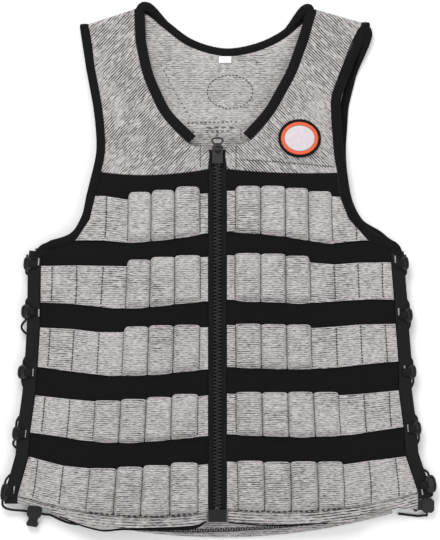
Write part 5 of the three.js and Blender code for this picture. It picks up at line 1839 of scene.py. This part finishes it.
def zip_teeth(side, paint):
    first = CHAIN_TOP - (0 if side == "left" else TOOTH_PITCH / 2) - 1.2
    places = np.arange(first, CHAIN_END + 1.4, -TOOTH_PITCH)
    made = joined_piece(f"teeth_{side}", [tooth(side, y) for y in places], paint, smooth=False)
    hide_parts(f"zip_teeth_{side}")


# Badge
BADGE_POINTS = 360


def ellipse(inset, count):
    """Points round the badge, inside its edge, and their angles."""
    turns = full_turn(count)
    x = x_of(BADGE["across"]) + (BADGE_WIDE / 2 - inset) * np.cos(turns)
    y = y_of(BADGE["down"]) + (BADGE_HIGH / 2 - inset) * np.sin(turns)
    return x, y, turns


def badge_ring(name, node, outer, inner, thick, paint, ridges=0):
    """A flat ring with a rounded back, wound with thread where ridges is given."""
    rows_top, rows_low = [], []
    for share in np.linspace(0, 1, 9):
        x, y, turns = ellipse(outer + (inner - outer) * share, BADGE_POINTS)
        base = front_height(x, y) + CLOTH + LAYER_GAP
        crown = thick * (0.35 + 0.65 * math.sqrt(max(0, 1 - abs(2 * share - 1) ** 3)))
        wound = 0.16 * np.sin(turns * ridges + share * 4) if ridges else 0
        rows_low.append(np.stack([x, y, base], axis=1))
        rows_top.append(np.stack([x, y, base + crown + wound * math.sin(share * math.pi)], axis=1))
    rings = np.array(rows_top + rows_low[::-1]).transpose(1, 0, 2)
    made = mesh_piece(name, *loop_parts(rings), paint)
    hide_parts(node)


def badge_centre(paint):
    """Bare satin centre, a little domed."""
    rows = []
    edge = BADGE_BORDER + BADGE_RING + 2 * GAP
    for share in np.linspace(1, 0.02, 14):
        x, y, _ = ellipse(0, 72)
        cx, cy = x_of(BADGE["across"]), y_of(BADGE["down"])
        scale_x = (BADGE_WIDE / 2 - edge) / (BADGE_WIDE / 2) * share
        scale_y = (BADGE_HIGH / 2 - edge) / (BADGE_HIGH / 2) * share
        px, py = cx + (x - cx) * scale_x, cy + (y - cy) * scale_y
        lift = BADGE_THICK * (0.8 + 0.25 * (1 - share**4))
        rows.append(np.stack([px, py, front_height(px, py) + CLOTH + LAYER_GAP + lift], axis=1))
    low = rows[0].copy()
    low[:, 2] -= BADGE_THICK * 0.7
    made = tube_piece("badge_middle", [low, *rows], paint)
    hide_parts("badge_centre")


LABEL_PX = (225.2, 58.3)


def size_label(paint):
    """Bare label inside the neck."""
    x, y = photo(*LABEL_PX)
    u, v = np.meshgrid(np.linspace(-7.6, 7.6, 14), np.linspace(4.1, -4.1, 9))
    z = BACK_RISE * 0.093 + CLOTH + 0.9 + 0.25 * np.sin(u * 0.35) + 0.3 * np.abs(v / 4) ** 2
    top = np.stack([x + u, y + v, z + 0.55], axis=-1)
    made = sheet_piece("label_cloth", top, raised(top, -0.5), paint)
    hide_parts("size_label")


EDGE_SEGMENTS = 3
EDGE_ANGLE = 28


def dress(node, paint, soften):
    """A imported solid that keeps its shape: rounded edges and its own finish."""
    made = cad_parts[node]
    made.data.materials.clear()
    made.data.materials.append(paint)
    bevel = made.modifiers.new("rounded", "BEVEL")
    bevel.width = soften * MM
    bevel.segments = EDGE_SEGMENTS
    bevel.limit_method = "ANGLE"
    bevel.angle_limit = math.radians(EDGE_ANGLE)
    bevel.harden_normals = True
    made.data.polygons.foreach_set("use_smooth", [True] * len(made.data.polygons))


camera()
stage()
light()

BRAID = lace_cord()
for side in SIDES:
    lace_tail(side, BRAID)
for side in SIDES:
    side_lace(side, BRAID)

KNIT = heather("heather_across", 0, 0.75)
POCKET_KNIT = heather("heather_pockets", 0, 0.85, follows=True)
HEM_KNIT = heather("heather_hem", 0, 1.3, follows=True, pitch=3.3)
TWILL = {"left": heather("heather_twill_left", 47, 1.6), "right": heather("heather_twill_right", -45, 1.5)}
BLACK_JERSEY_AND_SHADE = black_cloth()
BINDING = binding_cloth()
STRIP = webbing_cloth()
TAPE = tape_cloth()
MOULDED = plastic("moulded_black", 0.4)
TEETH = plastic("zip_plastic", 0.36, 1.6)
BLACK_THREAD_AND_SHADE = thread("black_thread_and_painted_shade", (0.012, 0.011, 0.012))
WHITE_THREAD = thread("white_thread", (0.5, 0.49, 0.49))

back_cloth(KNIT)
seam_and_shade_parts, tabs, tacks, hem_shade_tapes = back_seams(), [], [], []
for side in SIDES:
    front_base(side, BLACK_JERSEY_AND_SHADE)
    hem_band(side, HEM_KNIT)
    yoke(side, TWILL[side])
    for row in range(len(ROW_MIDDLE_PX)):
        over = pocket_strip(side, row, POCKET_KNIT)
        seam_and_shade_parts += pocket_stitches(side, row, over)
    armhole_binding(side, BINDING)
    strip_piece(
        f"strip_{side}", f"side_strip_{side}", lambda down, side=side: front_place(side, down),
        STRIP_TOP - STRIP_RISE, STRIP_END[side], STRIP_THICK, STRIP,
    )
    zip_tape(side, TAPE)
    zip_teeth(side, TEETH)
    back_strip(side, STRIP)
    dress(f"cord_lock_{side}", MOULDED, 0.7)
    dress(f"cord_lock_button_{side}", MOULDED, 0.6)
    for index in range(len(HOOKS[side])):
        lace_hook(side, index, MOULDED)
        tabs.append(hook_tab(side, index))
        tacks += bar_tack(side, index)
    seam_and_shade_parts += yoke_seams(side)
    hem_shade_tapes.append(hem_shade_tape(side))
neck_binding(BINDING)
for index in range(len(BACK_ROWS)):
    back_pockets(index, KNIT)
# Black thread; the cord between loaded pockets is partly painted shade in their grooves
joined_piece("sewn_seams_and_painted_shade", seam_and_shade_parts, BLACK_THREAD_AND_SHADE)
joined_piece("hook_tabs", tabs, STRIP)
joined_piece("bar_tacks", tacks, WHITE_THREAD)
# Dark tape under the front hem: partly seam tape, partly painted shade under the hem's edge
joined_piece("hem_seam_tape_and_painted_shade", hem_shade_tapes, BLACK_JERSEY_AND_SHADE)
overlock(BLACK_THREAD_AND_SHADE, WHITE_THREAD)
for place in ROLLS:
    shoulder_roll(place, BINDING)

dress("zip_slider", TEETH, 0.5)
dress("zip_puller", TEETH, 0.45)
dress("zip_end_box", plastic("end_film", 0.7, 1.2), 0.4)

inset = BADGE_BORDER + GAP
badge_ring("badge_edge", "badge_border", 0, BADGE_BORDER, 1.7, BINDING, ridges=150)
badge_ring(
    "badge_hoop", "badge_ring", inset, inset + BADGE_RING, BADGE_THICK,
    embroidered("badge_orange_cloth", (0.86, 0.115, 0.03), 0),
)
badge_centre(embroidered("badge_pale_cloth", (0.68, 0.62, 0.66), 90))
size_label(label_cloth())
